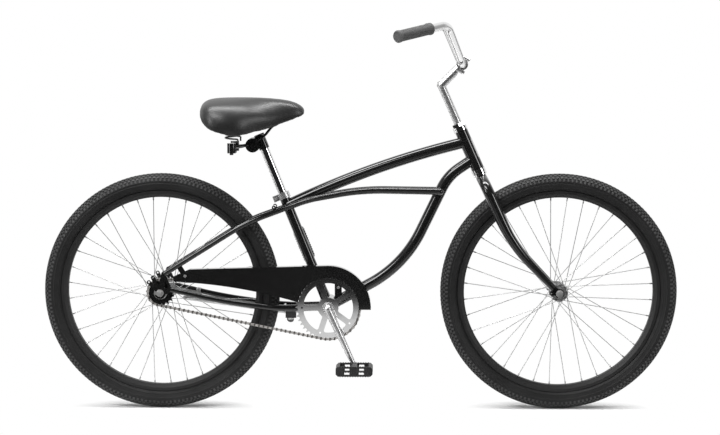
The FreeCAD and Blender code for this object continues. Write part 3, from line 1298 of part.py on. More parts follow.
def stay_eyelet(stay_wire):
    """Rack eyelet on top of the left stay, behind the seat tube, and its bore."""
    seat_point = stay_path()[3]
    points = stay_wire.discretize(PATH_SAMPLES)
    place = min(points, key=lambda point: abs(point.x - (seat_point.x - STAY_EYELET_AT)))
    middle = place + Vector(0, 0, STAY_RADIUS + EYELET_RADIUS - EYELET_SINK)
    half = LEFT * EYELET_RADIUS
    eyelet = cylinder(EYELET_RADIUS, middle - half, middle + half)
    return eyelet, cylinder(EYELET_BORE, middle - half * 2, middle + half * 2)


def stay_bridge(stay_outside):
    """Cross tube between the stays, above the rear tyre."""
    points = stay_path()
    place = points[3] + (points[4] - points[3]) * STAY_BRIDGE_AT
    half = Vector(0, place.y, 0)
    middle = Vector(place.x, 0, place.z)
    tube = ring(BRIDGE_RADIUS, BRIDGE_RADIUS - TUBE_WALL, middle - half, middle + half)
    return largest(tube.cut([stay_outside, mirrored(stay_outside)]))[0]


def chainstay_bridge(chainstay_outside):
    """Cross tube between the chainstays, just above the kickstand's plate."""
    height = kickstand_plate_top() + FACE_GAP + BRIDGE_RADIUS
    place = Vector(BB.x - CHAINSTAY_BRIDGE_BACK, 0, height)
    half = LEFT * CHAINSTAY_BRIDGE_HALF
    tube = ring(BRIDGE_RADIUS, BRIDGE_RADIUS - TUBE_WALL, place - half, place + half)
    return largest(tube.cut([chainstay_outside, mirrored(chainstay_outside)]))[0]


def guard_tab():
    """Tab from the right stay down to the guard's rear screw, just inside the guard."""
    screw = REAR_AXLE + Vector(GUARD_SCREW[0], -GUARD_OFFSET, GUARD_SCREW[1])
    points = [Vector(point.x, -point.y, point.z) for point in stay_path()]
    along = unit(points[5] - points[4])
    foot = points[4] + along * (screw - points[4]).dot(along)
    foot.y = screw.y
    tab = capsule_plate(foot, screw, GUARD_TAB_WIDTH / 2, GUARD_TAB_THICKNESS)
    over = LEFT * (GUARD_TAB_THICKNESS + CUT_OVER)
    return tab.cut(cylinder(SCREW_RADIUS + HOLE_FIT, screw - LEFT * CUT_OVER, screw + over))


def seat_clamp():
    """Split collar round the top of the seat tube, with two ears behind."""
    top = on_seat_tube(SEAT_TUBE_LENGTH)
    low = on_seat_tube(SEAT_TUBE_LENGTH - CLAMP_HEIGHT)
    bore = SEAT_TUBE_RADIUS + SLIP_FIT
    outer = SEAT_TUBE_RADIUS + CLAMP_WALL
    depth = outer + CLAMP_EAR_LENGTH
    ear_half = CLAMP_GAP / 2 + CLAMP_EAR_WIDTH
    ears = Part.makeBox(depth, 2 * ear_half, CLAMP_HEIGHT, Vector(-depth, -ear_half, 0))
    gap_corner = Vector(-depth * 2, -CLAMP_GAP / 2, -CLAMP_HEIGHT)
    gap = Part.makeBox(depth * 2, CLAMP_GAP, CLAMP_HEIGHT * 3, gap_corner)
    turn = FreeCAD.Placement(low, FreeCAD.Rotation(LEFT, -SEAT_LEAN))
    ears.Placement = turn
    gap.Placement = turn
    bolt = clamp_bolt_line()
    hole = cylinder(CLAMP_BOLT_RADIUS + HOLE_FIT, bolt - LEFT * depth, bolt + LEFT * depth)
    return cylinder(outer, low, top).fuse(ears).cut([gap, cylinder(bore, low - SEAT_UP, top + SEAT_UP), hole])


def clamp_bolt_line():
    back = SEAT_TUBE_RADIUS + CLAMP_WALL + CLAMP_EAR_LENGTH / 2
    return on_seat_tube(SEAT_TUBE_LENGTH - CLAMP_HEIGHT / 2, 0, back)


def head_badge():
    """Plain curved plate on the front of the head tube."""
    middle = LOWER_STACK + HEAD_TUBE_LENGTH / 2
    low = on_fork(middle - BADGE_LENGTH / 2)
    high = on_fork(middle + BADGE_LENGTH / 2)
    plate = ring(HEAD_TUBE_RADIUS + BADGE_THICKNESS, HEAD_TUBE_RADIUS, low, high)
    half_angle = math.radians(BADGE_HALF_ANGLE)
    reach = 2 * HEAD_TUBE_RADIUS
    side = reach * math.tan(half_angle)
    corners = [low, low + HEAD_AHEAD * reach + LEFT * side, low + HEAD_AHEAD * reach - LEFT * side]
    wedge = Part.Face(Part.makePolygon(corners + corners[:1])).extrude(high - low)
    return plate.common(wedge)


def headset_cup(seat, outward):
    """Cup pressed into the head tube's end: skirt inside, plate, and a rim round the balls."""
    bore = STEERER_RADIUS + CUP_BORE_GAP
    profile = [(bore, -CUP_SKIRT), (HEAD_TUBE_BORE, -CUP_SKIRT), (HEAD_TUBE_BORE, 0), (CUP_RADIUS, 0)]
    profile += [(CUP_RADIUS, CUP_HEIGHT), (CUP_TRACK, CUP_HEIGHT), (CUP_TRACK, CUP_PLATE), (bore, CUP_PLATE)]
    return turned(profile, seat, outward)


def frame_bearings():
    solids = []
    ball_radius = (CUP_TRACK - RACE_TRACK) / 2 - BALL_FIT
    ball_circle = (CUP_TRACK + RACE_TRACK) / 2
    ball_place = CUP_PLATE + ball_radius + BALL_FIT
    for seat, outward in ((on_fork(LOWER_STACK), HEAD_UP * -1), (on_fork(HEAD_TOP), HEAD_UP)):
        solids.append(headset_cup(seat, outward))
        solids += balls(HEADSET_BALL_COUNT, ball_radius, ball_circle, seat + outward * ball_place, HEAD_UP)
    ball_radius = (BB_CUP_TRACK - BB_CONE_TRACK) / 2 - BALL_FIT
    ball_circle = (BB_CUP_TRACK + BB_CONE_TRACK) / 2
    half = BB_SHELL_WIDTH / 2
    floor = half - BB_CUP_DEPTH
    floor_bore = BB_CONE_TRACK + BB_CUP_BORE_GAP
    floor_back = floor - BB_CUP_WALL
    for side in (-1, 1):
        profile = [(floor_bore, floor_back), (BB_SHELL_BORE, floor_back), (BB_SHELL_BORE, half)]
        profile += [(BB_SHELL_RADIUS, half), (BB_SHELL_RADIUS, half + BB_CUP_FLANGE)]
        profile += [(BB_CUP_TRACK, half + BB_CUP_FLANGE)]
        profile += [(BB_CUP_TRACK, floor), (floor_bore, floor)]
        solids.append(turned(profile, BB, LEFT * side))
        place = BB + LEFT * (side * (floor + ball_radius + BALL_FIT))
        solids += balls(BB_BALL_COUNT, ball_radius, ball_circle, place, LEFT)
    return solids


# Fork, stem and handlebar

def steerer_top():
    return HEAD_TOP + CUP_HEIGHT + SCREWED_RACE_HEIGHT + LOCKNUT_HEIGHT + FACE_GAP


def blade_end():
    """Lower end of the left blade, above and behind the front axle."""
    middle = FRONT_HUB_WIDTH / 2 + FRONT_DROPOUT_THICKNESS / 2
    return FRONT_AXLE + Vector(-BLADE_END[0], middle, BLADE_END[1])


def fork():
    bottom = on_fork(-STEERER_BELOW)
    top = on_fork(steerer_top())
    steerer_outside = cylinder(STEERER_RADIUS, bottom, top)
    steerer = steerer_outside.cut(cylinder(QUILL_RADIUS + RUN_FIT, bottom, top))
    crown_collar = ring(RACE_RADIUS, STEERER_RADIUS, on_fork(-CROWN_COLLAR), on_fork(0))
    steerer = steerer.fuse(crown_collar)

    points = [on_fork(BLADE_TOP), on_fork(BLADE_SHOULDER, BLADE_SHOULDER_OFFSET, BLADE_AHEAD / 2),
              on_fork(BLADE_BEND, BLADE_BEND_OFFSET, BLADE_AHEAD), blade_end()]
    path = rounded_path(points)
    edges = path.OrderedEdges
    upper = Part.Wire(edges[:3])
    lower = Part.Wire(edges[3:])
    outside = swept(upper, BLADE_RADIUS).fuse(swept(lower, BLADE_RADIUS, BLADE_END_RADIUS))
    inside = BLADE_RADIUS - BLADE_WALL
    bore = swept(upper, inside).fuse(swept(lower, inside, BLADE_END_RADIUS - BLADE_WALL))
    right_half = box(BB - LEFT * WHEELBASE, Vector(2 * WHEELBASE, 0, 2 * WHEELBASE))
    crown_cut = cylinder(RACE_RADIUS, on_fork(-CROWN_COLLAR), on_fork(HEAD_TOP))
    dropout = front_dropout()
    left_blade = outside.cut([bore, right_half, steerer_outside, crown_cut, dropout])
    left_blade = largest(left_blade)
    return {
        "fork_steerer": [steerer],
        "left_fork_blade": left_blade,
        "right_fork_blade": [mirrored(left_blade[0])],
        "front_dropouts": both_sides(dropout),
    }


def front_dropout():
    """Left plate round the front axle, with a slot open downwards and an eyelet behind."""
    inner = LEFT * (FRONT_HUB_WIDTH / 2)
    axle = FRONT_AXLE + inner
    end = blade_end()
    arm_end = end - unit(FRONT_AXLE - end) * FRONT_DROPOUT_OVERLAP
    arm_end.y = axle.y
    eyelet = axle + Vector(-FRONT_EYELET[0], 0, FRONT_EYELET[1])
    plate = cylinder(FRONT_DROPOUT_RADIUS, axle, axle + LEFT * FRONT_DROPOUT_THICKNESS)
    plate = plate.fuse([capsule_plate(axle, arm_end, FRONT_DROPOUT_ARM_RADIUS, FRONT_DROPOUT_THICKNESS),
                        capsule_plate(axle, eyelet, EYELET_RADIUS, FRONT_DROPOUT_THICKNESS)])
    under = LEFT * CUT_OVER
    slot_start = axle - under
    slot_end = slot_start - Vector(0, 0, 2 * FRONT_DROPOUT_RADIUS)
    slot = capsule_plate(slot_start, slot_end, DROPOUT_SLOT / 2, FRONT_DROPOUT_THICKNESS + 2 * CUT_OVER)
    hole = cylinder(EYELET_BORE, eyelet - under, eyelet + LEFT * FRONT_DROPOUT_THICKNESS + under)
    return plate.cut([slot, hole])


def headset_races():
    """Crown race, screwed race and lock nut, all on the steerer."""
    bore = STEERER_RADIUS + SLIP_FIT
    lower_top = LOWER_STACK - CUP_PLATE - FACE_GAP
    crown_race = turned([(bore, 0), (RACE_RADIUS, 0), (RACE_RADIUS, RACE_BASE), (RACE_TRACK, RACE_BASE),
                         (RACE_TRACK, lower_top), (bore, lower_top)], CROWN, HEAD_UP)
    start = HEAD_TOP + CUP_PLATE + FACE_GAP
    rim_top = HEAD_TOP + CUP_HEIGHT + FACE_GAP
    race_top = rim_top + SCREWED_RACE_HEIGHT
    screwed_race = turned([(bore, start), (RACE_TRACK, start), (RACE_TRACK, rim_top), (RACE_RADIUS, rim_top),
                           (RACE_RADIUS, race_top), (bore, race_top)], CROWN, HEAD_UP)
    nut = hex_prism(LOCKNUT_ACROSS, on_fork(race_top), on_fork(race_top + LOCKNUT_HEIGHT))
    nut = nut.cut(cylinder(bore, on_fork(race_top), on_fork(race_top + LOCKNUT_HEIGHT)))
    return [crown_race, screwed_race, nut]


def stem_split():
    """Direction out of the clamp's split face, towards the cap."""
    lean = math.radians(STEM_SPLIT_LEAN)
    return Vector(math.cos(lean), 0, -math.sin(lean)), Vector(math.sin(lean), 0, math.cos(lean))


def stem_parts():
    outward, upward = stem_split()
    bottom = on_fork(steerer_top() - QUILL_DEPTH)
    half = LEFT * (STEM_CLAMP_WIDTH / 2)
    quill = cylinder(QUILL_RADIUS, bottom, STEM_CORNER + HEAD_UP * (STEM_ARM_RADIUS / 2))
    arm = cylinder(STEM_ARM_RADIUS, STEM_CORNER, BAR_CENTRE)
    knee = Part.makeSphere(STEM_ARM_RADIUS, STEM_CORNER)
    clamp = cylinder(STEM_CLAMP_RADIUS, BAR_CENTRE - half, BAR_CENTRE + half)
    ears = []
    bolts = []
    spacing = STEM_BOLT_SPACING / 2
    for height in (-STEM_EAR_OFFSET, STEM_EAR_OFFSET):
        middle = BAR_CENTRE + upward * height
        start = middle - outward * (2 * STEM_EAR_RADIUS)
        end = middle + outward * (2 * STEM_EAR_RADIUS)
        for place in (-spacing, spacing):
            ears.append(cylinder(STEM_EAR_RADIUS, start + LEFT * place, end + LEFT * place))
            bolts.append((start + LEFT * place, end + LEFT * place))
    clamp = clamp.fuse(ears)
    bore = cylinder(BAR_RADIUS + RUN_FIT, BAR_CENTRE - half * 2, BAR_CENTRE + half * 2)
    holes = [cylinder(STEM_BOLT_RADIUS + SLIP_FIT, start - outward, end + outward) for start, end in bolts]
    size = 4 * STEM_CLAMP_RADIUS
    front = Part.makeBox(size, size * 2, size * 2, Vector(-STEM_SPLIT / 2, -size, -size))
    gap = Part.makeBox(STEM_SPLIT, size * 2, size * 2, Vector(-STEM_SPLIT / 2, -size, -size))
    turn = FreeCAD.Placement(BAR_CENTRE, FreeCAD.Rotation(Vector(1, 0, 0), outward))
    front.Placement = turn
    gap.Placement = turn
    above = STEM_CORNER + HEAD_UP * (2 * STEM_ARM_RADIUS)
    shaft = cylinder(EXPANDER_RADIUS + HOLE_FIT, bottom - HEAD_UP, above)
    head_seat = STEM_CORNER + HEAD_UP * (STEM_ARM_RADIUS / 2)
    recess = cylinder(EXPANDER_HEAD_RADIUS + HOLE_FIT, head_seat, head_seat + HEAD_UP * (2 * STEM_ARM_RADIUS))
    quill_bore = cylinder(QUILL_RADIUS - QUILL_WALL, bottom, on_fork(STEM_BEND - 4 * STEM_ARM_RADIUS))
    body = quill.fuse([knee, arm, clamp]).cut([front, bore, shaft, recess, quill_bore] + holes)
    slant = Part.makeBox(size, size, size, Vector(-size / 2, -size / 2, -size))
    slant.Placement = FreeCAD.Placement(bottom, FreeCAD.Rotation(LEFT, -HEAD_LEAN + WEDGE_SLANT))
    body = body.cut(slant)
    cap = clamp.common(front).cut([bore, gap] + holes)
    wedge = cylinder(QUILL_RADIUS, bottom - HEAD_UP * WEDGE_LENGTH, bottom + HEAD_UP * WEDGE_LENGTH)
    slant_up = slant.copy()
    slant_up.translate(HEAD_UP * -FACE_GAP)
    wedge = wedge.common(slant_up)
    wedge_low = bottom - HEAD_UP * (2 * WEDGE_LENGTH)
    wedge = wedge.cut(cylinder(EXPANDER_RADIUS + SLIP_FIT, wedge_low, bottom + HEAD_UP * WEDGE_LENGTH))
    expander = cylinder(EXPANDER_RADIUS, bottom - HEAD_UP * EXPANDER_DEPTH, head_seat)
    head_top = head_seat + HEAD_UP * EXPANDER_HEAD_LENGTH
    expander = expander.fuse(cylinder(EXPANDER_HEAD_RADIUS, head_seat, head_top))
    bolt_solids = [expander] + wedge.Solids
    for start, end in bolts:
        shank = cylinder(STEM_BOLT_RADIUS, start, end)
        head_end = end + outward * STEM_BOLT_HEAD_LENGTH
        bolt_solids.append(shank.fuse(cylinder(STEM_BOLT_HEAD_RADIUS, end, head_end)))
    return {"stem": largest(body), "stem_cap": largest(cap), "stem_bolts": bolt_solids}


def bar_points():
    corner = BAR_CENTRE + Vector(-BAR_SETBACK, BAR_CORNER_OFFSET, BAR_RISE)
    end = corner + Vector(-BAR_END_BACK, BAR_END_OFFSET - BAR_CORNER_OFFSET, -BAR_END_DROP)
    return [BAR_CENTRE + LEFT * (BAR_CLAMP_LENGTH / 2), corner, end]


def handlebar():
    left = bar_points()
    right = [Vector(point.x, -point.y, point.z) for point in reversed(left)]
    path = rounded_path(right + left, BAR_BEND_REACH)
    bar = swept(path, BAR_RADIUS).cut(swept(path, BAR_RADIUS - BAR_WALL))
    corner, end = left[1], left[2]
    along = unit(end - corner)
    outside = cylinder(GRIP_RADIUS, end - along * (GRIP_LENGTH - GRIP_CAP), end + along * GRIP_CAP)
    rims = [edge for edge in outside.Edges if edge.Closed and edge.Length > GRIP_RADIUS]
    outside = outside.makeFillet(GRIP_CAP / 2, rims)
    grip = outside.cut(cylinder(BAR_RADIUS + SLIP_FIT, end - along * GRIP_LENGTH, end + along * SLIP_FIT))
    return {"handlebar": [bar], "grips": both_sides(grip)}


# Chain guard, kickstand and small fasteners

def guard_outline():
    """Points of the guard's side view, and its arcs' middles, in the XZ plane."""
    def spot(along, up):
        return Vector(BB.x + along, 0, BB.z + up)

    def behind(place):
        return Vector(REAR_AXLE.x + place[0], 0, REAR_AXLE.z + place[1])

    def on_circle(radius, degrees):
        return polar(BB, radius, degrees)

    outer_front = spot(math.sqrt(GUARD_OUTER_RADIUS ** 2 - GUARD_FRONT_DROP ** 2), -GUARD_FRONT_DROP)
    inner_front = spot(math.sqrt(GUARD_INNER_RADIUS ** 2 - GUARD_FRONT_DROP ** 2), -GUARD_FRONT_DROP)
    top = on_circle(GUARD_OUTER_RADIUS, 90)
    inner_rear = on_circle(GUARD_INNER_RADIUS, GUARD_INNER_ANGLE)
    rear_low = behind(GUARD_REAR_LOW)
    chord = unit(rear_low - inner_rear)
    edge_middle = (inner_rear + rear_low) * 0.5 + Vector(chord.z, 0, -chord.x) * GUARD_EDGE_BOW
    return Part.Wire([
        Part.LineSegment(behind(GUARD_REAR_TOP), top).toShape(),
        Part.Arc(top, on_circle(GUARD_OUTER_RADIUS, 45), outer_front).toShape(),
        Part.LineSegment(outer_front, inner_front).toShape(),
        Part.Arc(inner_front, on_circle(GUARD_INNER_RADIUS, 80), inner_rear).toShape(),
        Part.Arc(inner_rear, edge_middle, rear_low).toShape(),
        Part.LineSegment(rear_low, behind(GUARD_REAR_MIDDLE)).toShape(),
        Part.LineSegment(behind(GUARD_REAR_MIDDLE), behind(GUARD_REAR_TOP)).toShape(),
    ])


def guard_lip():
    """Band along the guard's upper edge, turned in over the chain."""
    rear = Vector(REAR_AXLE.x + GUARD_REAR_TOP[0], 0, REAR_AXLE.z + GUARD_REAR_TOP[1])
    down = Vector(0, 0, -GUARD_THICKNESS)
    inner = GUARD_OUTER_RADIUS - GUARD_THICKNESS
    top = polar(BB, GUARD_OUTER_RADIUS, 90)
    inner_top = polar(BB, inner, 90)
    band = Part.Wire([
        Part.LineSegment(rear, top).toShape(),
        Part.Arc(top, polar(BB, GUARD_OUTER_RADIUS, 45), polar(BB, GUARD_OUTER_RADIUS, 0)).toShape(),
        Part.LineSegment(polar(BB, GUARD_OUTER_RADIUS, 0), polar(BB, inner, 0)).toShape(),
        Part.Arc(polar(BB, inner, 0), polar(BB, inner, 45), inner_top).toShape(),
        Part.LineSegment(inner_top, rear + down).toShape(),
        Part.LineSegment(rear + down, rear).toShape(),
    ])
    return Part.Face(band).extrude(LEFT * GUARD_LIP)


def chain_guard():
    plate = Part.Face(guard_outline()).extrude(LEFT * -GUARD_THICKNESS)
    guard = plate.fuse(guard_lip())
    guard.translate(LEFT * -GUARD_OFFSET)
    screw = REAR_AXLE + Vector(GUARD_SCREW[0], -GUARD_OFFSET, GUARD_SCREW[1])
    over = LEFT * (GUARD_THICKNESS + CUT_OVER)
    guard = guard.cut(cylinder(SCREW_RADIUS + HOLE_FIT, screw - over, screw + over))
    plane = guard_bracket_plane()
    front = BB + Vector(GUARD_BRACKET[0], 0, GUARD_BRACKET[1])
    half = GUARD_BRACKET_WIDTH / 2
    strip = box(Vector(front.x - half, plane - GUARD_BRACKET_THICKNESS, front.z - half),
                Vector(front.x + half, plane, BB.z + 2 * GUARD_OUTER_RADIUS))
    room = LEFT * GUARD_OFFSET
    strip = strip.common(cylinder(GUARD_OUTER_RADIUS - GUARD_THICKNESS, BB - room, BB))
    screw_hole = cylinder(SCREW_RADIUS + HOLE_FIT, front - room, front)
    return [guard, strip.cut(screw_hole)]


def screw(head_face, along, length):
    """Round-headed screw: the head stands out of head_face, the shank goes in along the given way."""
    head = cylinder(SCREW_HEAD_RADIUS, head_face - along * SCREW_HEAD_LENGTH, head_face)
    return head.fuse(cylinder(SCREW_RADIUS, head_face, head_face + along * length))


def frame_bolts():
    rear_screw = REAR_AXLE + Vector(GUARD_SCREW[0], -GUARD_OFFSET - GUARD_THICKNESS, GUARD_SCREW[1])
    solids = [screw(rear_screw, LEFT, GUARD_THICKNESS + GUARD_TAB_THICKNESS + SCREW_PROUD)]
    front = BB + Vector(GUARD_BRACKET[0], guard_bracket_plane() - GUARD_BRACKET_THICKNESS, GUARD_BRACKET[1])
    solids.append(screw(front, LEFT, GUARD_BRACKET_THICKNESS + GUARD_LUG_THICKNESS + SCREW_PROUD))
    bolt = clamp_bolt_line()
    ear_face = CLAMP_GAP / 2 + CLAMP_EAR_WIDTH
    bolt_solid = cylinder(CLAMP_BOLT_RADIUS, bolt - LEFT * ear_face, bolt + LEFT * ear_face)
    head_end = ear_face + CLAMP_BOLT_HEAD_LENGTH
    head = cylinder(CLAMP_BOLT_HEAD_RADIUS, bolt - LEFT * head_end, bolt - LEFT * ear_face)
    nut = hex_prism(CLAMP_NUT_ACROSS, bolt + LEFT * ear_face, bolt + LEFT * head_end)
    solids.append(bolt_solid.fuse([head, nut]))
    clip = brake_clip_point() + LEFT * brake_arm_plane()
    solids.append(screw(clip, LEFT, BRAKE_ARM_THICKNESS + BRAKE_CLIP_WALL + SCREW_PROUD))
    solids.append(kickstand_bolt())
    return solids


def kickstand_axis():
    """Folded and lowered directions of the leg, and the hinge axis that turns one into the other."""
    folded = unit(Vector(*KICKSTAND_FOLDED))
    forward = math.tan(math.radians(KICKSTAND_FORWARD_LEAN))
    sideways = math.tan(math.radians(KICKSTAND_SIDE_LEAN))
    lowered = unit(Vector(forward, sideways, -1))
    return folded, lowered, unit(lowered.cross(folded))


def kickstand_pivot():
    return BB + Vector(-KICKSTAND_PIVOT[0], KICKSTAND_PIVOT[1], -KICKSTAND_PIVOT[2])


def kickstand_block_low():
    return kickstand_pivot().z - KICKSTAND_BLOCK_DROP


def kickstand_plate_top():
    return BB.z - CHAINSTAY_RADIUS / 2 - CHAINSTAY_RING_BEND[1]


def kickstand_bracket(chainstay_outside):
    """Plate under the chainstays with the casting that carries the leg's hinge pin."""
    pivot = kickstand_pivot()
    folded, lowered, axis = kickstand_axis()
    top = kickstand_plate_top()
    half = KICKSTAND_PLATE_LENGTH / 2
    plate = box(Vector(pivot.x - half, -CHAINSTAY_RING_OFFSET, top - KICKSTAND_PLATE_THICKNESS),
                Vector(pivot.x + half, CHAINSTAY_RING_OFFSET, top))
    bore = KICKSTAND_PIN_RADIUS + RUN_FIT
    boss_start = pivot - axis * (KICKSTAND_PIN_DEPTH + KICKSTAND_BOSS_FLOOR)
    boss = cylinder(KICKSTAND_BARREL_RADIUS + KICKSTAND_BOSS_WALL, boss_start, pivot)
    block = box(Vector(pivot.x - KICKSTAND_BLOCK_HALF, -KICKSTAND_BARREL_RADIUS, kickstand_block_low()),
                Vector(pivot.x + KICKSTAND_BLOCK_HALF, pivot.y - KICKSTAND_BLOCK_INSET, top))
    pin_hole = cylinder(bore, pivot - axis * KICKSTAND_PIN_DEPTH, pivot + axis)
    bolt_hole = cylinder(KICKSTAND_BOLT_RADIUS + HOLE_FIT, Vector(pivot.x, 0, 0), Vector(pivot.x, 0, BB.z))
    clear = cylinder(KICKSTAND_BARREL_RADIUS * 3, pivot, pivot + axis * (KICKSTAND_BARREL_LENGTH * 3))
    body = plate.fuse([boss, block]).cut([clear, pin_hole, bolt_hole])
    return body.cut([chainstay_outside, mirrored(chainstay_outside)])


def kickstand_bolt():
    pivot = kickstand_pivot()
    top = kickstand_plate_top()
    low = kickstand_block_low()
    shank = cylinder(KICKSTAND_BOLT_RADIUS, Vector(pivot.x, 0, low), Vector(pivot.x, 0, top))
    head_low = Vector(pivot.x, 0, low - KICKSTAND_BOLT_HEAD_HEIGHT)
    return shank.fuse(hex_prism(KICKSTAND_BOLT_ACROSS, head_low, Vector(pivot.x, 0, low)))


def kickstand_leg():
    pivot = kickstand_pivot()
    folded, lowered, axis = kickstand_axis()
    barrel_start = pivot + axis * FACE_GAP
    barrel_end = pivot + axis * (FACE_GAP + KICKSTAND_BARREL_LENGTH)
    middle = (barrel_start + barrel_end) * 0.5
    tip = middle + folded * KICKSTAND_LEG_LENGTH
    leg = cylinder(KICKSTAND_BARREL_RADIUS, barrel_start, barrel_end)
    pin_start = pivot - axis * (KICKSTAND_PIN_DEPTH - KICKSTAND_PIN_END_GAP)
    pin = cylinder(KICKSTAND_PIN_RADIUS, pin_start, barrel_start)
    rod = cylinder(KICKSTAND_LEG_RADIUS, middle, tip)
    return leg.fuse([pin, rod, Part.makeSphere(KICKSTAND_LEG_RADIUS, tip)])


# Seat post and saddle

def seat_post():
    low = on_seat_tube(SEAT_TUBE_LENGTH - POST_INSERTED)
    shoulder = on_seat_tube(POST_SHOULDER)
    top = on_seat_tube(POST_SHOULDER + POST_NECK_LENGTH)
    outside = cylinder(POST_RADIUS, low, shoulder).fuse(cylinder(POST_NECK_RADIUS, low, top))
    return outside.cut(cylinder(POST_BORE, low, top))


def saddle_clamp():
    """Collar on the post's neck with the barrel that the tilt bolt passes through."""
    low = on_seat_tube(POST_SHOULDER + FACE_GAP)
    top = on_seat_tube(POST_SHOULDER + POST_NECK_LENGTH)
    outer = POST_NECK_RADIUS + SADDLE_COLLAR_WALL
    half = LEFT * SADDLE_BARREL_HALF
    barrel = cylinder(SADDLE_BARREL_RADIUS, SADDLE_PIVOT - half, SADDLE_PIVOT + half)
    body = cylinder(outer, low, top).fuse(barrel)
    bolt = cylinder(SADDLE_BOLT_RADIUS + RUN_FIT, SADDLE_PIVOT - half * 2, SADDLE_PIVOT + half * 2)
    return body.cut([cylinder(POST_NECK_RADIUS + SLIP_FIT, low - SEAT_UP, top + SEAT_UP), bolt])


def saddle_spot(along, left, up):
    return SADDLE_PIVOT + Vector(along, left, up)


def bumper_top():
    return saddle_spot(*BUMPER_PLACE)


def pan_underside(along):
    """Height of the base's lower face above the tilt pivot at a place along the saddle."""
    for first, second in zip(SADDLE_STATIONS, SADDLE_STATIONS[1:]):
        if first[0] <= along <= second[0]:
            share = (along - first[0]) / (second[0] - first[0])
            return first[5] + (second[5] - first[5]) * share + PAN_SUNK - PAN_THICKNESS
    return SADDLE_STATIONS[-1][5]


def nose_pivot():
    """Hinge under the nose that lets the saddle rock on its springs."""
    return saddle_spot(NOSE_PIVOT_AT, 0, pan_underside(NOSE_PIVOT_AT) - NOSE_PIVOT_DROP)


def saddle_rails():
    """Both rails with their clamp plates, the tilt bolt, the spring bumpers and the nose hinge pin."""
    nose = nose_pivot()
    bumper = bumper_top()
    points = [bumper + Vector(0, -BUMPER_RADIUS / 2, -BUMPER_HEIGHT / 2)]
    points += [saddle_spot(*place) for place in RAIL_BENDS]
    points.append(nose + LEFT * NOSE_RAIL_OFFSET)
    rail = swept(rounded_path(points), RAIL_RADIUS)
    bumper_low = bumper - Vector(0, 0, BUMPER_HEIGHT)
    block = cylinder(BUMPER_RADIUS, bumper_low, bumper)
    nut = hex_prism(BUMPER_NUT_ACROSS, bumper_low - Vector(0, 0, BUMPER_NUT_HEIGHT), bumper_low)
    plate_start = SADDLE_PIVOT + LEFT * (SADDLE_BARREL_HALF + FACE_GAP)
    plate = cylinder(SADDLE_PLATE_RADIUS, plate_start, plate_start + LEFT * SADDLE_PLATE_THICKNESS)
    left_side = rail.fuse([block, nut, plate])
    far = SADDLE_BARREL_HALF + FACE_GAP + SADDLE_PLATE_THICKNESS
    bolt = cylinder(SADDLE_BOLT_RADIUS, SADDLE_PIVOT - LEFT * far, SADDLE_PIVOT + LEFT * far)
    barrel_half = LEFT * NOSE_BARREL_HALF
    barrel = cylinder(NOSE_BARREL_RADIUS, nose - barrel_half, nose + barrel_half)
    pin_half = LEFT * (NOSE_BARREL_HALF + FACE_GAP + NOSE_LUG_THICKNESS)
    pin = cylinder(NOSE_PIN_RADIUS, nose - pin_half, nose + pin_half)
    nuts = []
    for side in (-1, 1):
        start = SADDLE_PIVOT + LEFT * (side * far)
        nuts.append(hex_prism(SADDLE_NUT_ACROSS, start, start + LEFT * (side * SADDLE_NUT_HEIGHT)))
    return left_side.fuse([mirrored(left_side), bolt, barrel, pin] + nuts)


def biarc(start, start_way, end, end_way):
    """Two tangent arcs that leave start along start_way and reach end along end_way."""
    chord = end - start
    ways = start_way + end_way
    spread = 2 * (1 - start_way.dot(end_way))
    reach = (math.sqrt(chord.dot(ways) ** 2 + spread * chord.dot(chord)) - chord.dot(ways)) / spread
    first_corner = start + start_way * reach
    last_corner = end - end_way * reach
    join = (first_corner + last_corner) * 0.5
    return [arc_at_corner(start, first_corner, join), arc_at_corner(join, last_corner, end)]


def saddle_spring():
    """Left coil spring: whole quarter turns as biarcs, with both ends turned upright onto their seats."""
    low = bumper_top() + Vector(0, 0, FACE_GAP)
    high_z = SADDLE_PIVOT.z + pan_underside(BUMPER_PLACE[0]) - FACE_GAP
    coil_low = low.z + SPRING_END_STRAIGHT + SPRING_END_BEND
    coil_high = high_z - SPRING_END_STRAIGHT - SPRING_END_BEND
    rise_per_turn = (coil_high - coil_low) / SPRING_TURNS
    quarters = int(round(SPRING_TURNS * 4))

    def on_coil(quarter):
        angle = math.pi / 2 * quarter
        out = Vector(math.cos(angle), math.sin(angle), 0) * SPRING_COIL_RADIUS
        onward = Vector(-out.y, out.x, rise_per_turn / (2 * math.pi))
        height = coil_low + rise_per_turn * quarter / 4
        return Vector(low.x, low.y, height) + out, unit(onward)

    upright = Vector(0, 0, 1)
    first, first_way = on_coil(0)
    last, last_way = on_coil(quarters)
    foot_turn = first - first_way * SPRING_END_REACH
    foot = Vector(foot_turn.x, foot_turn.y, low.z)
    foot_top = foot + upright * SPRING_END_STRAIGHT
    head_turn = last + last_way * SPRING_END_REACH
    seat_height = SADDLE_PIVOT.z + pan_underside(head_turn.x - SADDLE_PIVOT.x) - FACE_GAP
    head = Vector(head_turn.x, head_turn.y, seat_height)
    head_low = head - upright * SPRING_END_STRAIGHT
    edges = [Part.LineSegment(foot, foot_top).toShape()]
    edges += biarc(foot_top, upright, first, first_way)
    for quarter in range(quarters):
        start, start_way = on_coil(quarter)
        end, end_way = on_coil(quarter + 1)
        edges += biarc(start, start_way, end, end_way)
    edges += biarc(last, last_way, head_low, upright)
    edges.append(Part.LineSegment(head_low, head).toShape())
    wire = Part.Wire(edges)
    report_spring_gap(wire)
    return swept(wire, SPRING_WIRE_RADIUS)


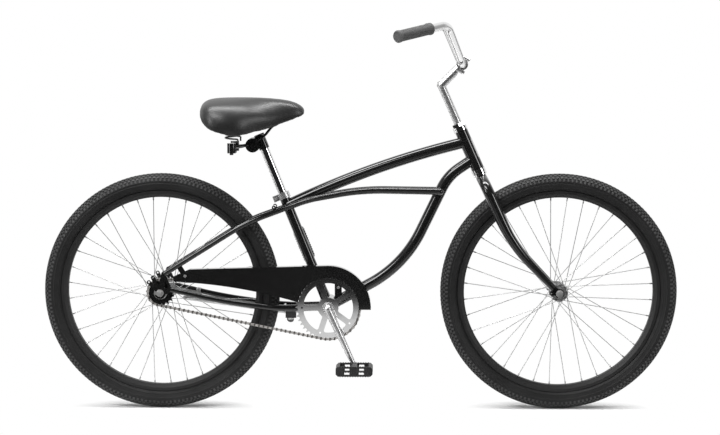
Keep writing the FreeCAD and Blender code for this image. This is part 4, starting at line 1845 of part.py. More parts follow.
def report_spring_gap(wire):
    """Prints the least gap between parts of the wire that are more than half a turn apart along it."""
    points = wire.discretize(PATH_SAMPLES)
    step = wire.Length / (len(points) - 1)
    apart = int(math.pi * SPRING_COIL_RADIUS / step)
    least = wire.Length
    for place, here in enumerate(points):
        for there in points[place + apart:]:
            least = min(least, (here - there).Length)
    print("least gap between spring turns", round(least - 2 * SPRING_WIRE_RADIUS, 2), "mm")


def cushion_section(station):
    along, half, skirt, crown, pan_half, pan = station
    tuck = half - SKIRT_TUCK
    shoulder = half * CROWN_SHARE
    shoulder_height = crown - half * CROWN_DROP
    side_height = (skirt + shoulder_height) / 2
    channel = min(pan_half, tuck - SKIRT_TUCK)

    def spot(left, up):
        return saddle_spot(along, left, up)

    return Part.Wire([
        Part.LineSegment(spot(-tuck, skirt), spot(-channel, pan)).toShape(),
        Part.LineSegment(spot(-channel, pan), spot(channel, pan)).toShape(),
        Part.LineSegment(spot(channel, pan), spot(tuck, skirt)).toShape(),
        Part.Arc(spot(tuck, skirt), spot(half, side_height), spot(shoulder, shoulder_height)).toShape(),
        Part.Arc(spot(shoulder, shoulder_height), spot(0, crown), spot(-shoulder, shoulder_height)).toShape(),
        Part.Arc(spot(-shoulder, shoulder_height), spot(-half, side_height), spot(-tuck, skirt)).toShape(),
    ])


def saddle_base_section(station):
    along, half, skirt, crown, pan_half, pan = station
    channel = min(pan_half, half - 2 * SKIRT_TUCK) - PAN_SIDE_GAP
    top = pan + PAN_SUNK
    low = top - PAN_THICKNESS
    corners = [saddle_spot(along, -channel, low), saddle_spot(along, channel, low)]
    corners += [saddle_spot(along, channel, top), saddle_spot(along, -channel, top)]
    return Part.makePolygon(corners + corners[:1])


def saddle_parts():
    cushion = Part.makeLoft([cushion_section(station) for station in SADDLE_STATIONS], True, False)
    base = Part.makeLoft([saddle_base_section(station) for station in SADDLE_STATIONS[1:-1]], True, True)
    cushion = cushion.cut(base)
    nose = nose_pivot()
    lug_start = nose + LEFT * (NOSE_BARREL_HALF + FACE_GAP)
    lug_top = lug_start + Vector(0, 0, NOSE_PIVOT_DROP)
    lug = capsule_plate(lug_start, lug_top, NOSE_BARREL_RADIUS, NOSE_LUG_THICKNESS)
    lug = lug.cut(cylinder(NOSE_PIN_RADIUS + RUN_FIT, nose, nose + LEFT * (2 * NOSE_BARREL_HALF)))
    lug = lug.cut(cushion)
    base = base.fuse(both_sides(lug))
    return {
        "seat_post": [seat_post()],
        "saddle_clamp": [saddle_clamp()],
        "saddle_rails": [saddle_rails()],
        "saddle_springs": both_sides(saddle_spring()),
        "saddle_base": [base],
        "saddle_cushion": [cushion],
    }


def rod(centre, length):
    half = LEFT * (length / 2)
    return cylinder(AXLE_RADIUS, centre - half, centre + half)


def build():
    nodes, chainstay_wire, chainstay_outside = frame_tubes()
    nodes["seat_clamp"] = [seat_clamp()]
    nodes["head_badge"] = [head_badge()]
    nodes["frame_bearings"] = frame_bearings()
    nodes["kickstand_bracket"] = [kickstand_bracket(chainstay_outside)]
    nodes["kickstand_leg"] = [kickstand_leg()]
    nodes["chain_guard"] = chain_guard()
    nodes["frame_bolts"] = frame_bolts()
    nodes["rear_axle"] = [rod(REAR_AXLE, REAR_AXLE_LENGTH)]
    nodes["rear_axle_nuts"] = axle_nuts(REAR_AXLE, REAR_HUB_WIDTH / 2 + DROPOUT_THICKNESS)
    nodes["coaster_brake"] = coaster_brake()
    nodes["brake_arm"] = brake_arm(chainstay_wire)
    nodes["rear_driver"] = rear_driver()
    nodes["rear_sprocket"] = [rear_sprocket()]
    nodes.update(fork())
    nodes["headset_races"] = headset_races()
    nodes["front_axle"] = [rod(FRONT_AXLE, FRONT_AXLE_LENGTH)]
    nodes["front_axle_nuts"] = axle_nuts(FRONT_AXLE, FRONT_HUB_WIDTH / 2 + FRONT_DROPOUT_THICKNESS)
    nodes["front_hub_bearings"] = front_hub_insides()
    nodes.update(stem_parts())
    nodes.update(handlebar())
    nodes.update(wheel("front", FRONT_AXLE, FRONT_VALVE_ANGLE, FRONT_HUB))
    nodes.update(wheel("rear", REAR_AXLE, REAR_VALVE_ANGLE, REAR_HUB))
    nodes["crank"] = [crank()]
    nodes["chainring"] = [chainring()]
    nodes["crank_cones"] = crank_cones()
    nodes["pedal_spindles"] = [pedal_spindle(-1), pedal_spindle(1)]
    nodes["right_pedal"] = [pedal(-1, 0)]
    nodes["left_pedal"] = [pedal(1, LEFT_PEDAL_TURN)]
    nodes["chain"] = chain()
    nodes.update(saddle_parts())
    return nodes


def save(nodes):
    os.makedirs("parts", exist_ok=True)
    for name, shapes in nodes.items():
        solids = [solid for shape in shapes for solid in shape.Solids]
        whole = solids[0] if len(solids) == 1 else Part.makeCompound(solids)
        whole.exportStep(os.path.join("parts", name + ".step"))
        valid = all(solid.isValid() for solid in solids)
        volume = round(sum(solid.Volume for solid in solids))
        print(name, len(solids), "solids", volume, "mm3", "" if valid else "NOT VALID")
    print(len(nodes), "nodes")


save(build())
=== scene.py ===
import json
import math

import bpy
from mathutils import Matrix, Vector


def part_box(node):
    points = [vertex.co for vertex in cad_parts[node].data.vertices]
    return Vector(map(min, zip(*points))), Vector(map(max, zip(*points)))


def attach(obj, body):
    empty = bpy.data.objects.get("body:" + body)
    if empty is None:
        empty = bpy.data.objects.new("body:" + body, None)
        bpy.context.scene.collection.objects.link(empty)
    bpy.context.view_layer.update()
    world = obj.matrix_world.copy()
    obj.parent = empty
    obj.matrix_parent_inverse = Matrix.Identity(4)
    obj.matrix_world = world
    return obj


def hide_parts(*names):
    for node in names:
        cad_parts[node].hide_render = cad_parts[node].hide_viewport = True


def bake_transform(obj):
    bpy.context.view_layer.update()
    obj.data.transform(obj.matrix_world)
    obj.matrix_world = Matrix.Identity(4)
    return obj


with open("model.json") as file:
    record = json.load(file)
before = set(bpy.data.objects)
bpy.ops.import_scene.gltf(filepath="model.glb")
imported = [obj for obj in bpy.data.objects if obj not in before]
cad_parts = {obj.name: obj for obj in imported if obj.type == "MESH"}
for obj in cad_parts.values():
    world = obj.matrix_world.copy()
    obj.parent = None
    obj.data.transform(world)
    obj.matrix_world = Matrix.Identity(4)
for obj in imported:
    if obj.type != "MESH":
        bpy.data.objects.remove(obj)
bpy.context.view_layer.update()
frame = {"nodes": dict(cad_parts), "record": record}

# Looks of a black beach cruiser, in metres in the CAD frame: +X forward, +Y to the rider's left, +Z up.
nodes = frame["nodes"]

# Tyres
BLOCK_HEIGHT = 0.0023
BLOCK_LENGTH = 0.0072
BLOCK_WIDTH = 0.0064
SHOULDER_LENGTH = 0.0055
SHOULDER_WIDTH = 0.0084
BLOCK_EDGE = 0.0006
BLOCK_COUNT = 168
BLOCK_ROWS = ((0, 0.0), (17, 0.5), (34, 0.0), (50, 0.5))
SHOULDER_ROW = (67, 0.0)
TREAD_EDGE = 79
CASING_STEPS = 160
SECTION_STEPS = 48
SIDEWALL_RIBS = (93.75, 123.75)
RIB_INSET = 0.0009
RIB_RISE = 0.0007
TREAD_INSET = 0.0008
TREAD_RISE = 0.0006
TYRE_SMOOTH = 32
RIM_LIP_RADIUS = 0.2853
BEAD_DEPTH = 0.003

# Grips, along the bar's ends. Outlines are rows of distance along and radius.
GRIP_TIP = Vector((0.1065, 0.299, 1.0509))
GRIP_WAY = Vector((-0.134, 0.149, -0.032)).normalized()
GRIP_LENGTH = 0.136
GRIP_RADIUS = 0.0152
GRIP_OVERHANG = 0.004
GRIP_MOUTH = ((0, 0.01225), (0.0005, 0.0156), (0.0015, 0.0166), (0.005, 0.0166), (0.0065, GRIP_RADIUS))
GRIP_RIBS = (0.010, GRIP_LENGTH - 0.014)
GRIP_RIB_PITCH = 0.0046
GRIP_RIB_FLOOR = GRIP_RADIUS - 0.0007
GRIP_RIB = ((0, GRIP_RADIUS), (0.0007, GRIP_RIB_FLOOR), (0.0017, GRIP_RIB_FLOOR), (0.0024, GRIP_RADIUS))
GRIP_END = ((-0.010, GRIP_RADIUS), (-0.008, 0.0166), (-0.003, 0.0166), (-0.001, 0.0152), (0, 0.0126))
GRIP_DIMPLE = ((-0.0008, 0.0114), (-0.0008, 0.0004))
GRIP_STEPS = 48
EDGE_SMOOTH = 30

# Pedals
PEDAL_PLATE = 0.007
TOOTH_COUNT = 12
TOOTH_PITCH = 0.007
TOOTH_SIZE = Vector((0.0036, 0.0052, 0.0016))
TOOTH_SINK = 0.0002
TOOTH_TOP = 0.45
LEFT_PEDAL_TURN = -112

# Saddle
PAD_VOXEL = 0.0045
PAD_DRAW_IN = 0.002
PAD_FILL_OUT = 0.0015
PAD_MOST_SWELL = 0.0045
PAD_FRAMES = 20
PAD_PRESSURE = 4
PAD_HELD_FACING = -0.5
PAD_SMOOTHING = 0.5
PAD_SMOOTH_FIRST = 8
PAD_SMOOTH_LAST = 20
PAD_SHADING = 180
NOSE_FROM = 0.3
NOSE_STEPS = 8
NOSE_LONGER = 1.008
NOSE_DEEPER = 1.012

# Chain: its pitch, the share of the painted shade that lies round the pins (the rest is oil in patches), and
# the pins at its lower run's ends
CHAIN_PITCH = 0.0127
PIN_SHADE_SHARE = 0.8
RUN_START = Vector((-0.56956, 0, 0.29820))
RUN_END = Vector((-0.10912, 0, 0.20439))

# Copies of CAD meshes
WELD = 0.00002
SPRING_SMOOTH = 40

# Photograph
CAMERA_PLACE = Vector((0.105, -5.6, 1.07))
CAMERA_AIM = Vector((0, 0, 0.542))
CAMERA_LENS = 99.75
CAMERA_SENSOR = 36
CAMERA_REACH = 100
FLOOR_SIZE = 60
CONTACT_AT = 0.56
SHADOW_LENGTH = 0.26
SHADOW_WIDTH = 0.12
SHADOW_CORE = 0.45

# What shiny pieces mirror: the floor in front, a white card on it, and walls by direction, dark to full
FLOOR_DARK_FROM = (-0.8, -0.1)
CARD_PLACE = Vector((-0.0886, -1.5, 0))
CARD_ACROSS = (0.3, 0.6)
CARD_ALONG = (0.35, 0.75)
CARD_WHITE = 0.75
ROOM_DARK = 0.02
ROOM_LIGHT = 0.34
LEFT_WALL = ("X", -0.35, -0.8, 0.45)
CEILING = ("Z", 0.6, 0.95, 0.12)
BACKDROP = ("Y", -0.1, 0.4, 1.0)

# Soft boxes: name, place, aim, width, height, watts
SOFT_BOXES = (
    ("key_light", (-1.8, -2.4, 3.0), (0, 0, 0.5), 2.2, 1.0, 75),
    ("left_light", (-4.2, -2.8, 1.4), (-0.2, 0, 0.5), 1.2, 2.0, 55),
    ("right_light", (4.2, -2.8, 1.4), (0.2, 0, 0.5), 1.2, 2.0, 55),
    ("top_light", (-0.2, -0.3, 3.0), (-0.2, 0, 0), 3.4, 0.6, 110),
)


class Signal:
    """A value inside a finish. Python's operators combine signals and numbers through Math nodes."""

    def __init__(self, finish, socket):
        self.finish = finish
        self.socket = socket

    def combine(self, operation, first, second):
        return self.finish.add("ShaderNodeMath", {"operation": operation}, {0: first, 1: second})

    def __add__(self, other):
        return self.combine("ADD", self, other)

    def __radd__(self, other):
        return self.combine("ADD", other, self)

    def __sub__(self, other):
        return self.combine("SUBTRACT", self, other)

    def __rsub__(self, other):
        return self.combine("SUBTRACT", other, self)

    def __mul__(self, other):
        return self.combine("MULTIPLY", self, other)

    def __rmul__(self, other):
        return self.combine("MULTIPLY", other, self)

    def __pow__(self, other):
        return self.combine("POWER", self, other)


class Finish:
    """A material with one Principled shader, or the studio's backdrop, whose nodes are added by type."""

    def __init__(self, name, constants, backdrop=False):
        self.data = bpy.data.worlds.new(name) if backdrop else bpy.data.materials.new(name)
        self.data.use_nodes = True
        self.tree = self.data.node_tree
        self.shader = self.tree.nodes["Background" if backdrop else "Principled BSDF"]
        for socket, value in constants.items():
            self.shader.inputs[socket].default_value = value

    def feed(self, socket, value):
        if isinstance(value, Signal):
            self.tree.links.new(value.socket, socket)
        else:
            socket.default_value = value

    def add(self, kind, settings, inputs, output=0):
        node = self.tree.nodes.new(kind)
        for name, value in settings.items():
            if name == "stops":
                for element, (place, colour) in zip(node.color_ramp.elements, value):
                    element.position = place
                    element.color = colour
            else:
                setattr(node, name, value)
        for name, value in inputs.items():
            self.feed(node.inputs[name], value)
        return Signal(self, node.outputs[output])

    def set(self, socket, value):
        self.feed(self.shader.inputs[socket], value)

    def place(self):
        return self.add("ShaderNodeTexCoord", {}, {}, "Object")

    def along(self, axis):
        return self.add("ShaderNodeSeparateXYZ", {}, {"Vector": self.place()}, axis)

    def size_of(self, value):
        return self.add("ShaderNodeMath", {"operation": "ABSOLUTE"}, {0: value})

    def larger(self, first, second):
        return self.add("ShaderNodeMath", {"operation": "MAXIMUM"}, {0: first, 1: second})

    def ray(self, kind):
        return self.add("ShaderNodeLightPath", {}, {}, kind)

    def noise(self, scale, detail=3.0, stretch=None):
        where = self.place()
        if stretch:
            where = self.add("ShaderNodeMapping", {}, {"Vector": where, "Scale": stretch}, "Vector")
        return self.add("ShaderNodeTexNoise", {}, {"Vector": where, "Scale": scale, "Detail": detail})

    def cells(self, scale):
        return self.add("ShaderNodeTexVoronoi", {}, {"Vector": self.place(), "Scale": scale})

    def between(self, amount, first, second):
        return self.add("ShaderNodeMix", {"data_type": "RGBA"}, {0: amount, 6: first, 7: second}, 2)

    def ramp(self, amount, low, high):
        stops = [(low, (0, 0, 0, 1)), (high, (1, 1, 1, 1))]
        return self.add("ShaderNodeValToRGB", {"stops": stops}, {"Fac": amount})

    def spread(self, amount, low, high):
        """Low where the amount is 0 and high where it is 1."""
        return amount * (high - low) + low

    def between_steps(self, amount, start, end, first, second):
        """First below start, second above end, and an even change between."""
        limits = {"Value": amount, "From Min": start, "From Max": end, "To Min": first, "To Max": second}
        return self.add("ShaderNodeMapRange", {}, limits)

    def relief(self, height, depth, strength):
        inputs = {"Height": height, "Distance": depth, "Strength": strength}
        self.set("Normal", self.add("ShaderNodeBump", {}, inputs, "Normal"))


def grey(level, warmth=0.0):
    return (level * (1 + warmth), level, level * (1 - warmth), 1)


def black_enamel():
    """Gloss paint with a faint orange peel and a little dust."""
    finish = Finish("black_enamel", {"Coat Weight": 1.0, "Coat Roughness": 0.03, "Specular IOR Level": 0.1})
    dust = finish.noise(scale=9.0)
    finish.set("Base Color", finish.between(dust, grey(0.004), grey(0.009)))
    finish.set("Roughness", finish.spread(finish.noise(scale=30.0), low=0.12, high=0.26))
    finish.relief(finish.noise(scale=420.0, detail=2.0), depth=0.0004, strength=0.06)
    return finish


def satin_black():
    """Half-matt black of the anodised rims."""
    finish = Finish("satin_black", {"Specular IOR Level": 0.3})
    film = finish.noise(scale=24.0, detail=4.0)
    finish.set("Base Color", finish.between(film, grey(0.008), grey(0.014)))
    finish.set("Roughness", finish.spread(film, low=0.42, high=0.56))
    finish.relief(finish.noise(scale=900.0), depth=0.0001, strength=0.1)
    return finish


def bright_chrome():
    """Plated metal with fine polishing marks and faint smears."""
    finish = Finish("bright_chrome", {"Metallic": 1.0})
    smear = finish.noise(scale=18.0)
    finish.set("Base Color", finish.between(smear, grey(0.72), grey(0.86)))
    finish.set("Roughness", finish.spread(finish.noise(scale=60.0), low=0.04, high=0.11))
    finish.relief(finish.noise(scale=700.0, detail=2.0), depth=0.0002, strength=0.04)
    return finish


def satin_silver():
    """Brushed and polished metal of the crank, stem, hubs and kickstand."""
    finish = Finish("satin_silver", {"Metallic": 1.0})
    grain = finish.noise(scale=60.0, detail=4.0, stretch=(1.0, 1.0, 9.0))
    finish.set("Base Color", finish.between(grain, grey(0.58), grey(0.72)))
    finish.set("Roughness", finish.spread(grain, low=0.3, high=0.44))
    finish.relief(grain, depth=0.0002, strength=0.08)
    return finish


def zinc_steel():
    """Bright plated nuts, bolts and axles."""
    finish = Finish("zinc_steel", {"Metallic": 1.0})
    cloud = finish.noise(scale=140.0)
    finish.set("Base Color", finish.between(cloud, grey(0.62), grey(0.78, 0.01)))
    finish.set("Roughness", finish.spread(cloud, low=0.34, high=0.5))
    finish.relief(finish.noise(scale=900.0), depth=0.0001, strength=0.1)
    return finish


def stainless_wire():
    """Drawn wire of the spokes."""
    finish = Finish("stainless_wire", {"Metallic": 1.0})
    drawn = finish.noise(scale=120.0)
    finish.set("Base Color", finish.between(drawn, grey(0.42), grey(0.58)))
    finish.set("Roughness", finish.spread(drawn, low=0.25, high=0.4))
    return finish


def oiled_chain():
    """Steel plates, with painted shade in bands round the pins of the straight run, and dark oil in patches
    elsewhere.
    """
    finish = Finish("oiled_chain", {"Metallic": 1.0})
    # Painted shade: dark bands at the chain's pitch round the pins of the straight run, mixed with real oil
    # patches.
    way = (RUN_END - RUN_START).normalized() * (2 * math.pi / CHAIN_PITCH)
    turn = (finish.along("X") - RUN_START.x) * way.x + (finish.along("Z") - RUN_START.z) * way.z
    nearness = finish.add("ShaderNodeMath", {"operation": "COSINE"}, {0: turn})
    painted_pin_shade = finish.between_steps(nearness, 0.0, 0.9, 0.0, 1.0)
    patches = finish.ramp(finish.noise(scale=160.0, detail=4.0), low=0.35, high=0.7)
    shade_and_oil = painted_pin_shade * PIN_SHADE_SHARE + patches * (1 - PIN_SHADE_SHARE)
    finish.set("Base Color", finish.between(shade_and_oil, grey(0.85, 0.03), grey(0.12, 0.08)))
    finish.set("Roughness", finish.spread(finish.noise(scale=90.0), low=0.34, high=0.54))
    finish.relief(finish.noise(scale=1200.0), depth=0.0001, strength=0.12)
    return finish


def tyre_rubber():
    """Matt moulded rubber with a little grey bloom, and a painted highlight: the tread blocks are paler."""
    finish = Finish("tyre_rubber", {"Specular IOR Level": 0.25})
    bloom = finish.ramp(finish.noise(scale=14.0, detail=5.0), low=0.35, high=0.75)
    painted_light_mask = finish.add("ShaderNodeAttribute", {"attribute_name": "tread"}, {}, "Fac")
    sides = finish.between(bloom, grey(0.008), grey(0.013))
    # Painted highlight: the blocks get a paler colour, as where their edges catch light from above.
    lit_block_colour = finish.between(bloom, grey(0.03), grey(0.05))
    finish.set("Base Color", finish.between(painted_light_mask, sides, lit_block_colour))
    finish.set("Roughness", finish.spread(finish.noise(scale=40.0), low=0.46, high=0.62))
    finish.relief(finish.noise(scale=1500.0), depth=0.0002, strength=0.25)
    return finish


def tube_rubber():
    """Soft dull rubber of the inner tubes and their valves."""
    finish = Finish("tube_rubber", {"Specular IOR Level": 0.3})
    finish.set("Base Color", finish.between(finish.noise(scale=30.0), grey(0.014), grey(0.022)))
    finish.set("Roughness", finish.spread(finish.noise(scale=80.0), low=0.6, high=0.8))
    return finish


def grip_rubber():
    """Dark grey moulded rubber."""
    finish = Finish("grip_rubber", {"Specular IOR Level": 0.35})
    wear = finish.noise(scale=45.0, detail=4.0)
    finish.set("Base Color", finish.between(wear, grey(0.05), grey(0.08)))
    finish.set("Roughness", finish.spread(wear, low=0.55, high=0.75))
    finish.relief(finish.noise(scale=1800.0), depth=0.0002, strength=0.3)
    return finish


def moulded_plastic():
    """Fine-grained black resin of the pedals and the saddle's shell."""
    finish = Finish("moulded_plastic", {"Specular IOR Level": 0.4})
    grain = finish.cells(scale=1100.0)
    finish.set("Base Color", finish.between(finish.noise(scale=35.0), grey(0.009), grey(0.018)))
    finish.set("Roughness", finish.spread(finish.noise(scale=70.0), low=0.38, high=0.58))
    finish.relief(grain, depth=0.0002, strength=0.25)
    return finish


def saddle_vinyl():
    """Soft black vinyl with a pebbled grain and a broad sheen."""
    finish = Finish("saddle_vinyl", {"Specular IOR Level": 0.65})
    pebbles = finish.cells(scale=620.0)
    rub = finish.noise(scale=16.0, detail=4.0)
    finish.set("Base Color", finish.between(rub, grey(0.005), grey(0.010)))
    finish.set("Roughness", finish.spread(rub, low=0.36, high=0.44))
    finish.relief(pebbles * 0.7 + finish.noise(scale=260.0) * 0.5, depth=0.0003, strength=0.12)
    return finish


ENAMEL = black_enamel()
SATIN_BLACK = satin_black()
CHROME = bright_chrome()
SILVER = satin_silver()
STEEL = zinc_steel()
SPOKE = stainless_wire()
CHAIN = oiled_chain()
TYRE = tyre_rubber()
TUBE = tube_rubber()
GRIP = grip_rubber()
PLASTIC = moulded_plastic()
VINYL = saddle_vinyl()

SLOT_FINISHES = {
    "black_paint": ENAMEL, "chrome": CHROME, "silver": SILVER, "steel": STEEL, "chain_steel": CHAIN,
    "tyre_rubber": TYRE, "tube_rubber": TUBE, "grip_rubber": GRIP, "pedal_resin": PLASTIC,
    "saddle_shell": PLASTIC, "saddle_cover": VINYL,
}
NODE_FINISHES = {
    "front_spokes": SPOKE, "rear_spokes": SPOKE, "front_rim": SATIN_BLACK, "rear_rim": SATIN_BLACK,
    "crank": SILVER,
}


def finish_carried_nodes():
    for subpart in frame["record"]["subparts"]:
        name = subpart["node"]
        finish = NODE_FINISHES.get(name, SLOT_FINISHES[subpart["material_slot"]])
        mesh = nodes[name].data
        mesh.materials.clear()
        mesh.materials.append(finish.data)


def start_piece():
    if bpy.context.mode != "OBJECT":
        bpy.ops.object.mode_set(mode="OBJECT")
    bpy.ops.object.select_all(action="DESELECT")


def pick_faces(piece, wanted):
    """Leaves only the faces selected whose centre passes the test, in edit mode."""
    bpy.ops.object.mode_set(mode="EDIT")
    bpy.ops.mesh.select_mode(type="FACE")
    bpy.ops.mesh.select_all(action="DESELECT")
    bpy.ops.object.mode_set(mode="OBJECT")
    for face in piece.data.polygons:
        face.select = wanted(face.center)
    bpy.ops.object.mode_set(mode="EDIT")


def settle(piece, finish, body, smooth_angle):
    """Puts the piece's place into its mesh, gives it its finish and lets it ride on its body."""
    start_piece()
    piece.select_set(True)
    bpy.context.view_layer.objects.active = piece
    bpy.ops.object.transform_apply(location=True, rotation=True, scale=True)
    bpy.ops.object.shade_smooth_by_angle(angle=math.radians(smooth_angle))
    piece.data.materials.clear()
    piece.data.materials.append(finish.data)
    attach(piece, body)


def tyre_with_blocks(name, node, body):
    """Round casing with ribs on its sides and rows of small blocks on the tread."""
    low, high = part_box(node)
    axle = (low + high) / 2
    section = (high.y - low.y) / 2
    ring = (high.z - low.z) / 2 - section
    casing = section - BLOCK_HEIGHT

    def from_axle(point):
        return math.hypot(point.x - axle.x, point.z - axle.z)

    def from_crown(point):
        return math.degrees(math.atan2(abs(point.y - axle.y), from_axle(point) - ring))

    start_piece()
    bpy.ops.mesh.primitive_torus_add(major_radius=ring, major_segments=CASING_STEPS, minor_radius=casing,
                                     minor_segments=SECTION_STEPS, location=axle,
                                     rotation=(math.pi / 2, 0, 0))
    tyre = bpy.context.object
    tyre.name = name
    bpy.ops.object.transform_apply(location=True, rotation=True, scale=True)
    pick_faces(tyre, lambda centre: from_axle(centre) < RIM_LIP_RADIUS)
    bpy.ops.mesh.delete(type="FACE")
    bpy.ops.mesh.select_mode(type="EDGE")
    bpy.ops.mesh.select_all(action="DESELECT")
    bpy.ops.mesh.select_non_manifold()
    bpy.ops.mesh.extrude_edges_move()
    draw_in = 1 - BEAD_DEPTH / RIM_LIP_RADIUS
    bpy.ops.transform.resize(value=(draw_in, 1, draw_in), center_override=axle)
    for rib in SIDEWALL_RIBS:
        pick_faces(tyre, lambda centre: abs(from_crown(centre) - rib) < 180 / SECTION_STEPS)
        bpy.ops.mesh.inset(thickness=RIB_INSET, depth=RIB_RISE, use_boundary=True)
    pick_faces(tyre, lambda centre: from_crown(centre) < TREAD_EDGE)
    bpy.ops.mesh.inset(thickness=TREAD_INSET, depth=TREAD_RISE, use_boundary=True)
    pitch = 2 * math.pi / BLOCK_COUNT
    rows = [(degrees, shift, BLOCK_LENGTH, BLOCK_WIDTH) for degrees, shift in BLOCK_ROWS]
    rows.append((*SHOULDER_ROW, SHOULDER_LENGTH, SHOULDER_WIDTH))
    for degrees, shift, length, width in rows:
        for side in (-1, 1) if degrees else (1,):
            lean = math.radians(degrees * side)
            turn = pitch * shift
            reach = ring + (casing + BLOCK_HEIGHT / 2) * math.cos(lean)
            across = (casing + BLOCK_HEIGHT / 2) * math.sin(lean)
            block = axle + Vector((reach * math.sin(turn), across, reach * math.cos(turn)))
            bpy.ops.mesh.select_mode(type="EDGE")
            bpy.ops.mesh.select_all(action="DESELECT")
            bpy.ops.mesh.primitive_cube_add(size=1, location=block, rotation=(-lean, turn, 0),
                                            scale=(length, width, BLOCK_HEIGHT))
            bpy.ops.mesh.bevel(offset=BLOCK_EDGE, segments=1, affect="EDGES")
            bpy.ops.mesh.spin(steps=BLOCK_COUNT - 1, dupli=True, angle=2 * math.pi - pitch,
                              center=axle, axis=(0, 1, 0))
    bpy.ops.object.mode_set(mode="OBJECT")
    # Marks the block points, which the tyre's finish paints paler as a painted highlight.
    painted_light_mask = tyre.data.attributes.new("tread", "FLOAT", "POINT")
    for vertex, mark in zip(tyre.data.vertices, painted_light_mask.data):
        from_section = math.hypot(from_axle(vertex.co) - ring, vertex.co.y - axle.y)
        mark.value = 1.0 if from_section > casing + BLOCK_HEIGHT / 2 else 0.0
    settle(tyre, TYRE, body, TYRE_SMOOTH)
    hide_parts(node)


def turned_piece(name, profile, start, way):
    """Turned piece: a disc is drawn out ring by ring through (distance along, radius)."""
    start_piece()
    along, radius = profile[0]
    bpy.ops.mesh.primitive_circle_add(vertices=GRIP_STEPS, radius=radius, fill_type="NGON",
                                      location=(0, 0, along))
    piece = bpy.context.object
    piece.name = name
    bpy.ops.object.transform_apply(location=True, rotation=True, scale=True)
    bpy.ops.object.mode_set(mode="EDIT")
    bpy.ops.mesh.select_mode(type="FACE")
    bpy.ops.mesh.select_all(action="SELECT")
    for next_along, next_radius in profile[1:]:
        bpy.ops.mesh.extrude_region_move(TRANSFORM_OT_translate={"value": (0, 0, next_along - along)})
        share = next_radius / radius
        bpy.ops.transform.resize(value=(share, share, 1), center_override=(0, 0, next_along))
        along, radius = next_along, next_radius
    bpy.ops.mesh.select_all(action="SELECT")
    bpy.ops.mesh.normals_make_consistent(inside=False)
    bpy.ops.object.mode_set(mode="OBJECT")
    piece.rotation_mode = "QUATERNION"
    piece.rotation_quaternion = way.to_track_quat("Z", "Y")
    piece.location = start
    return piece


def ribbed_grip(name, side):
    """Closed rubber grip with fine ribs, a flange by the hand's edge and a rounded end."""
    tip = Vector((GRIP_TIP.x, GRIP_TIP.y * side, GRIP_TIP.z))
    way = Vector((GRIP_WAY.x, GRIP_WAY.y * side, GRIP_WAY.z))
    profile = list(GRIP_MOUTH)
    rib_start, ribs_end = GRIP_RIBS
    while rib_start < ribs_end:
        profile += [(rib_start + along, radius) for along, radius in GRIP_RIB]
        rib_start += GRIP_RIB_PITCH
    profile += [(GRIP_LENGTH + along, radius) for along, radius in GRIP_END + GRIP_DIMPLE]
    start = tip + way * (GRIP_OVERHANG - GRIP_LENGTH)
    grip = turned_piece(name, profile, start, way)
    settle(grip, GRIP, "handlebar", EDGE_SMOOTH)
    return grip


def pedal_teeth(name, node, body, turn):
    """Rows of small teeth on both faces of a pedal's end plates."""
    level_low, level_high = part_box("right_pedal")
    size = level_high - level_low
    low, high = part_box(node)
    first = Vector((-TOOTH_PITCH * (TOOTH_COUNT - 1) / 2, (PEDAL_PLATE - size.y) / 2, size.z / 2))
    first.z += TOOTH_SIZE.z / 2 - TOOTH_SINK
    start_piece()
    bpy.ops.mesh.primitive_cube_add(size=1, location=first, scale=TOOTH_SIZE)
    teeth = bpy.context.object
    teeth.name = name
    bpy.ops.object.transform_apply(location=True, rotation=True, scale=True)
    pick_faces(teeth, lambda centre: centre.z > first.z + TOOTH_SIZE.z / 4)
    bpy.ops.transform.resize(value=(TOOTH_TOP, 1, 1), center_override=first)
    bpy.ops.object.mode_set(mode="OBJECT")
    for count, step in ((TOOTH_COUNT, (TOOTH_PITCH, 0, 0)), (2, (0, size.y - PEDAL_PLATE, 0))):
        rows = teeth.modifiers.new("rows", "ARRAY")
        rows.count = count
        rows.use_relative_offset = False
        rows.use_constant_offset = True
        rows.constant_offset_displace = step
        bpy.ops.object.modifier_apply(modifier="rows")
    faces = teeth.modifiers.new("both_faces", "MIRROR")
    faces.use_axis = (False, False, True)
    bpy.ops.object.modifier_apply(modifier="both_faces")
    teeth.location = (low + high) / 2
    teeth.rotation_euler = (0, math.radians(turn), 0)
    settle(teeth, PLASTIC, body, EDGE_SMOOTH)


def swell(piece):
    """Blows the pad up a little inside its cover, holding it where it rests on the saddle's shell."""
    drawn = [vertex.co.copy() for vertex in piece.data.vertices]
    held = piece.vertex_groups.new(name="held")
    underside = [vertex.index for vertex in piece.data.vertices if vertex.normal.z < PAD_HELD_FACING]
    held.add(underside, 1.0, "REPLACE")
    cloth = piece.modifiers.new("swell", "CLOTH")
    cloth.settings.use_pressure = True
    cloth.settings.uniform_pressure_force = PAD_PRESSURE
    cloth.settings.effector_weights.gravity = 0
    cloth.settings.vertex_group_mass = "held"
    for number in range(1, PAD_FRAMES + 1):
        bpy.context.scene.frame_set(number)
    bpy.ops.object.modifier_apply(modifier="swell")
    bpy.context.scene.frame_set(1)
    for vertex, before in zip(piece.data.vertices, drawn):
        move = vertex.co - before
        if move.length > PAD_MOST_SWELL:
            vertex.co = before + move.normalized() * PAD_MOST_SWELL


def draw_out_nose(piece):
    """Makes the pad's nose longer and deeper, a little more at each step towards its tip."""
    low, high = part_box("saddle_cushion")
    length = high.x - low.x
    for step in range(NOSE_STEPS):
        start = low.x + length * (NOSE_FROM + (1 - NOSE_FROM) * step / NOSE_STEPS)
        pick_faces(piece, lambda centre: centre.x > start)
        bpy.ops.transform.resize(value=(NOSE_LONGER, 1, NOSE_DEEPER), center_override=(start, 0, high.z))
        bpy.ops.object.mode_set(mode="OBJECT")


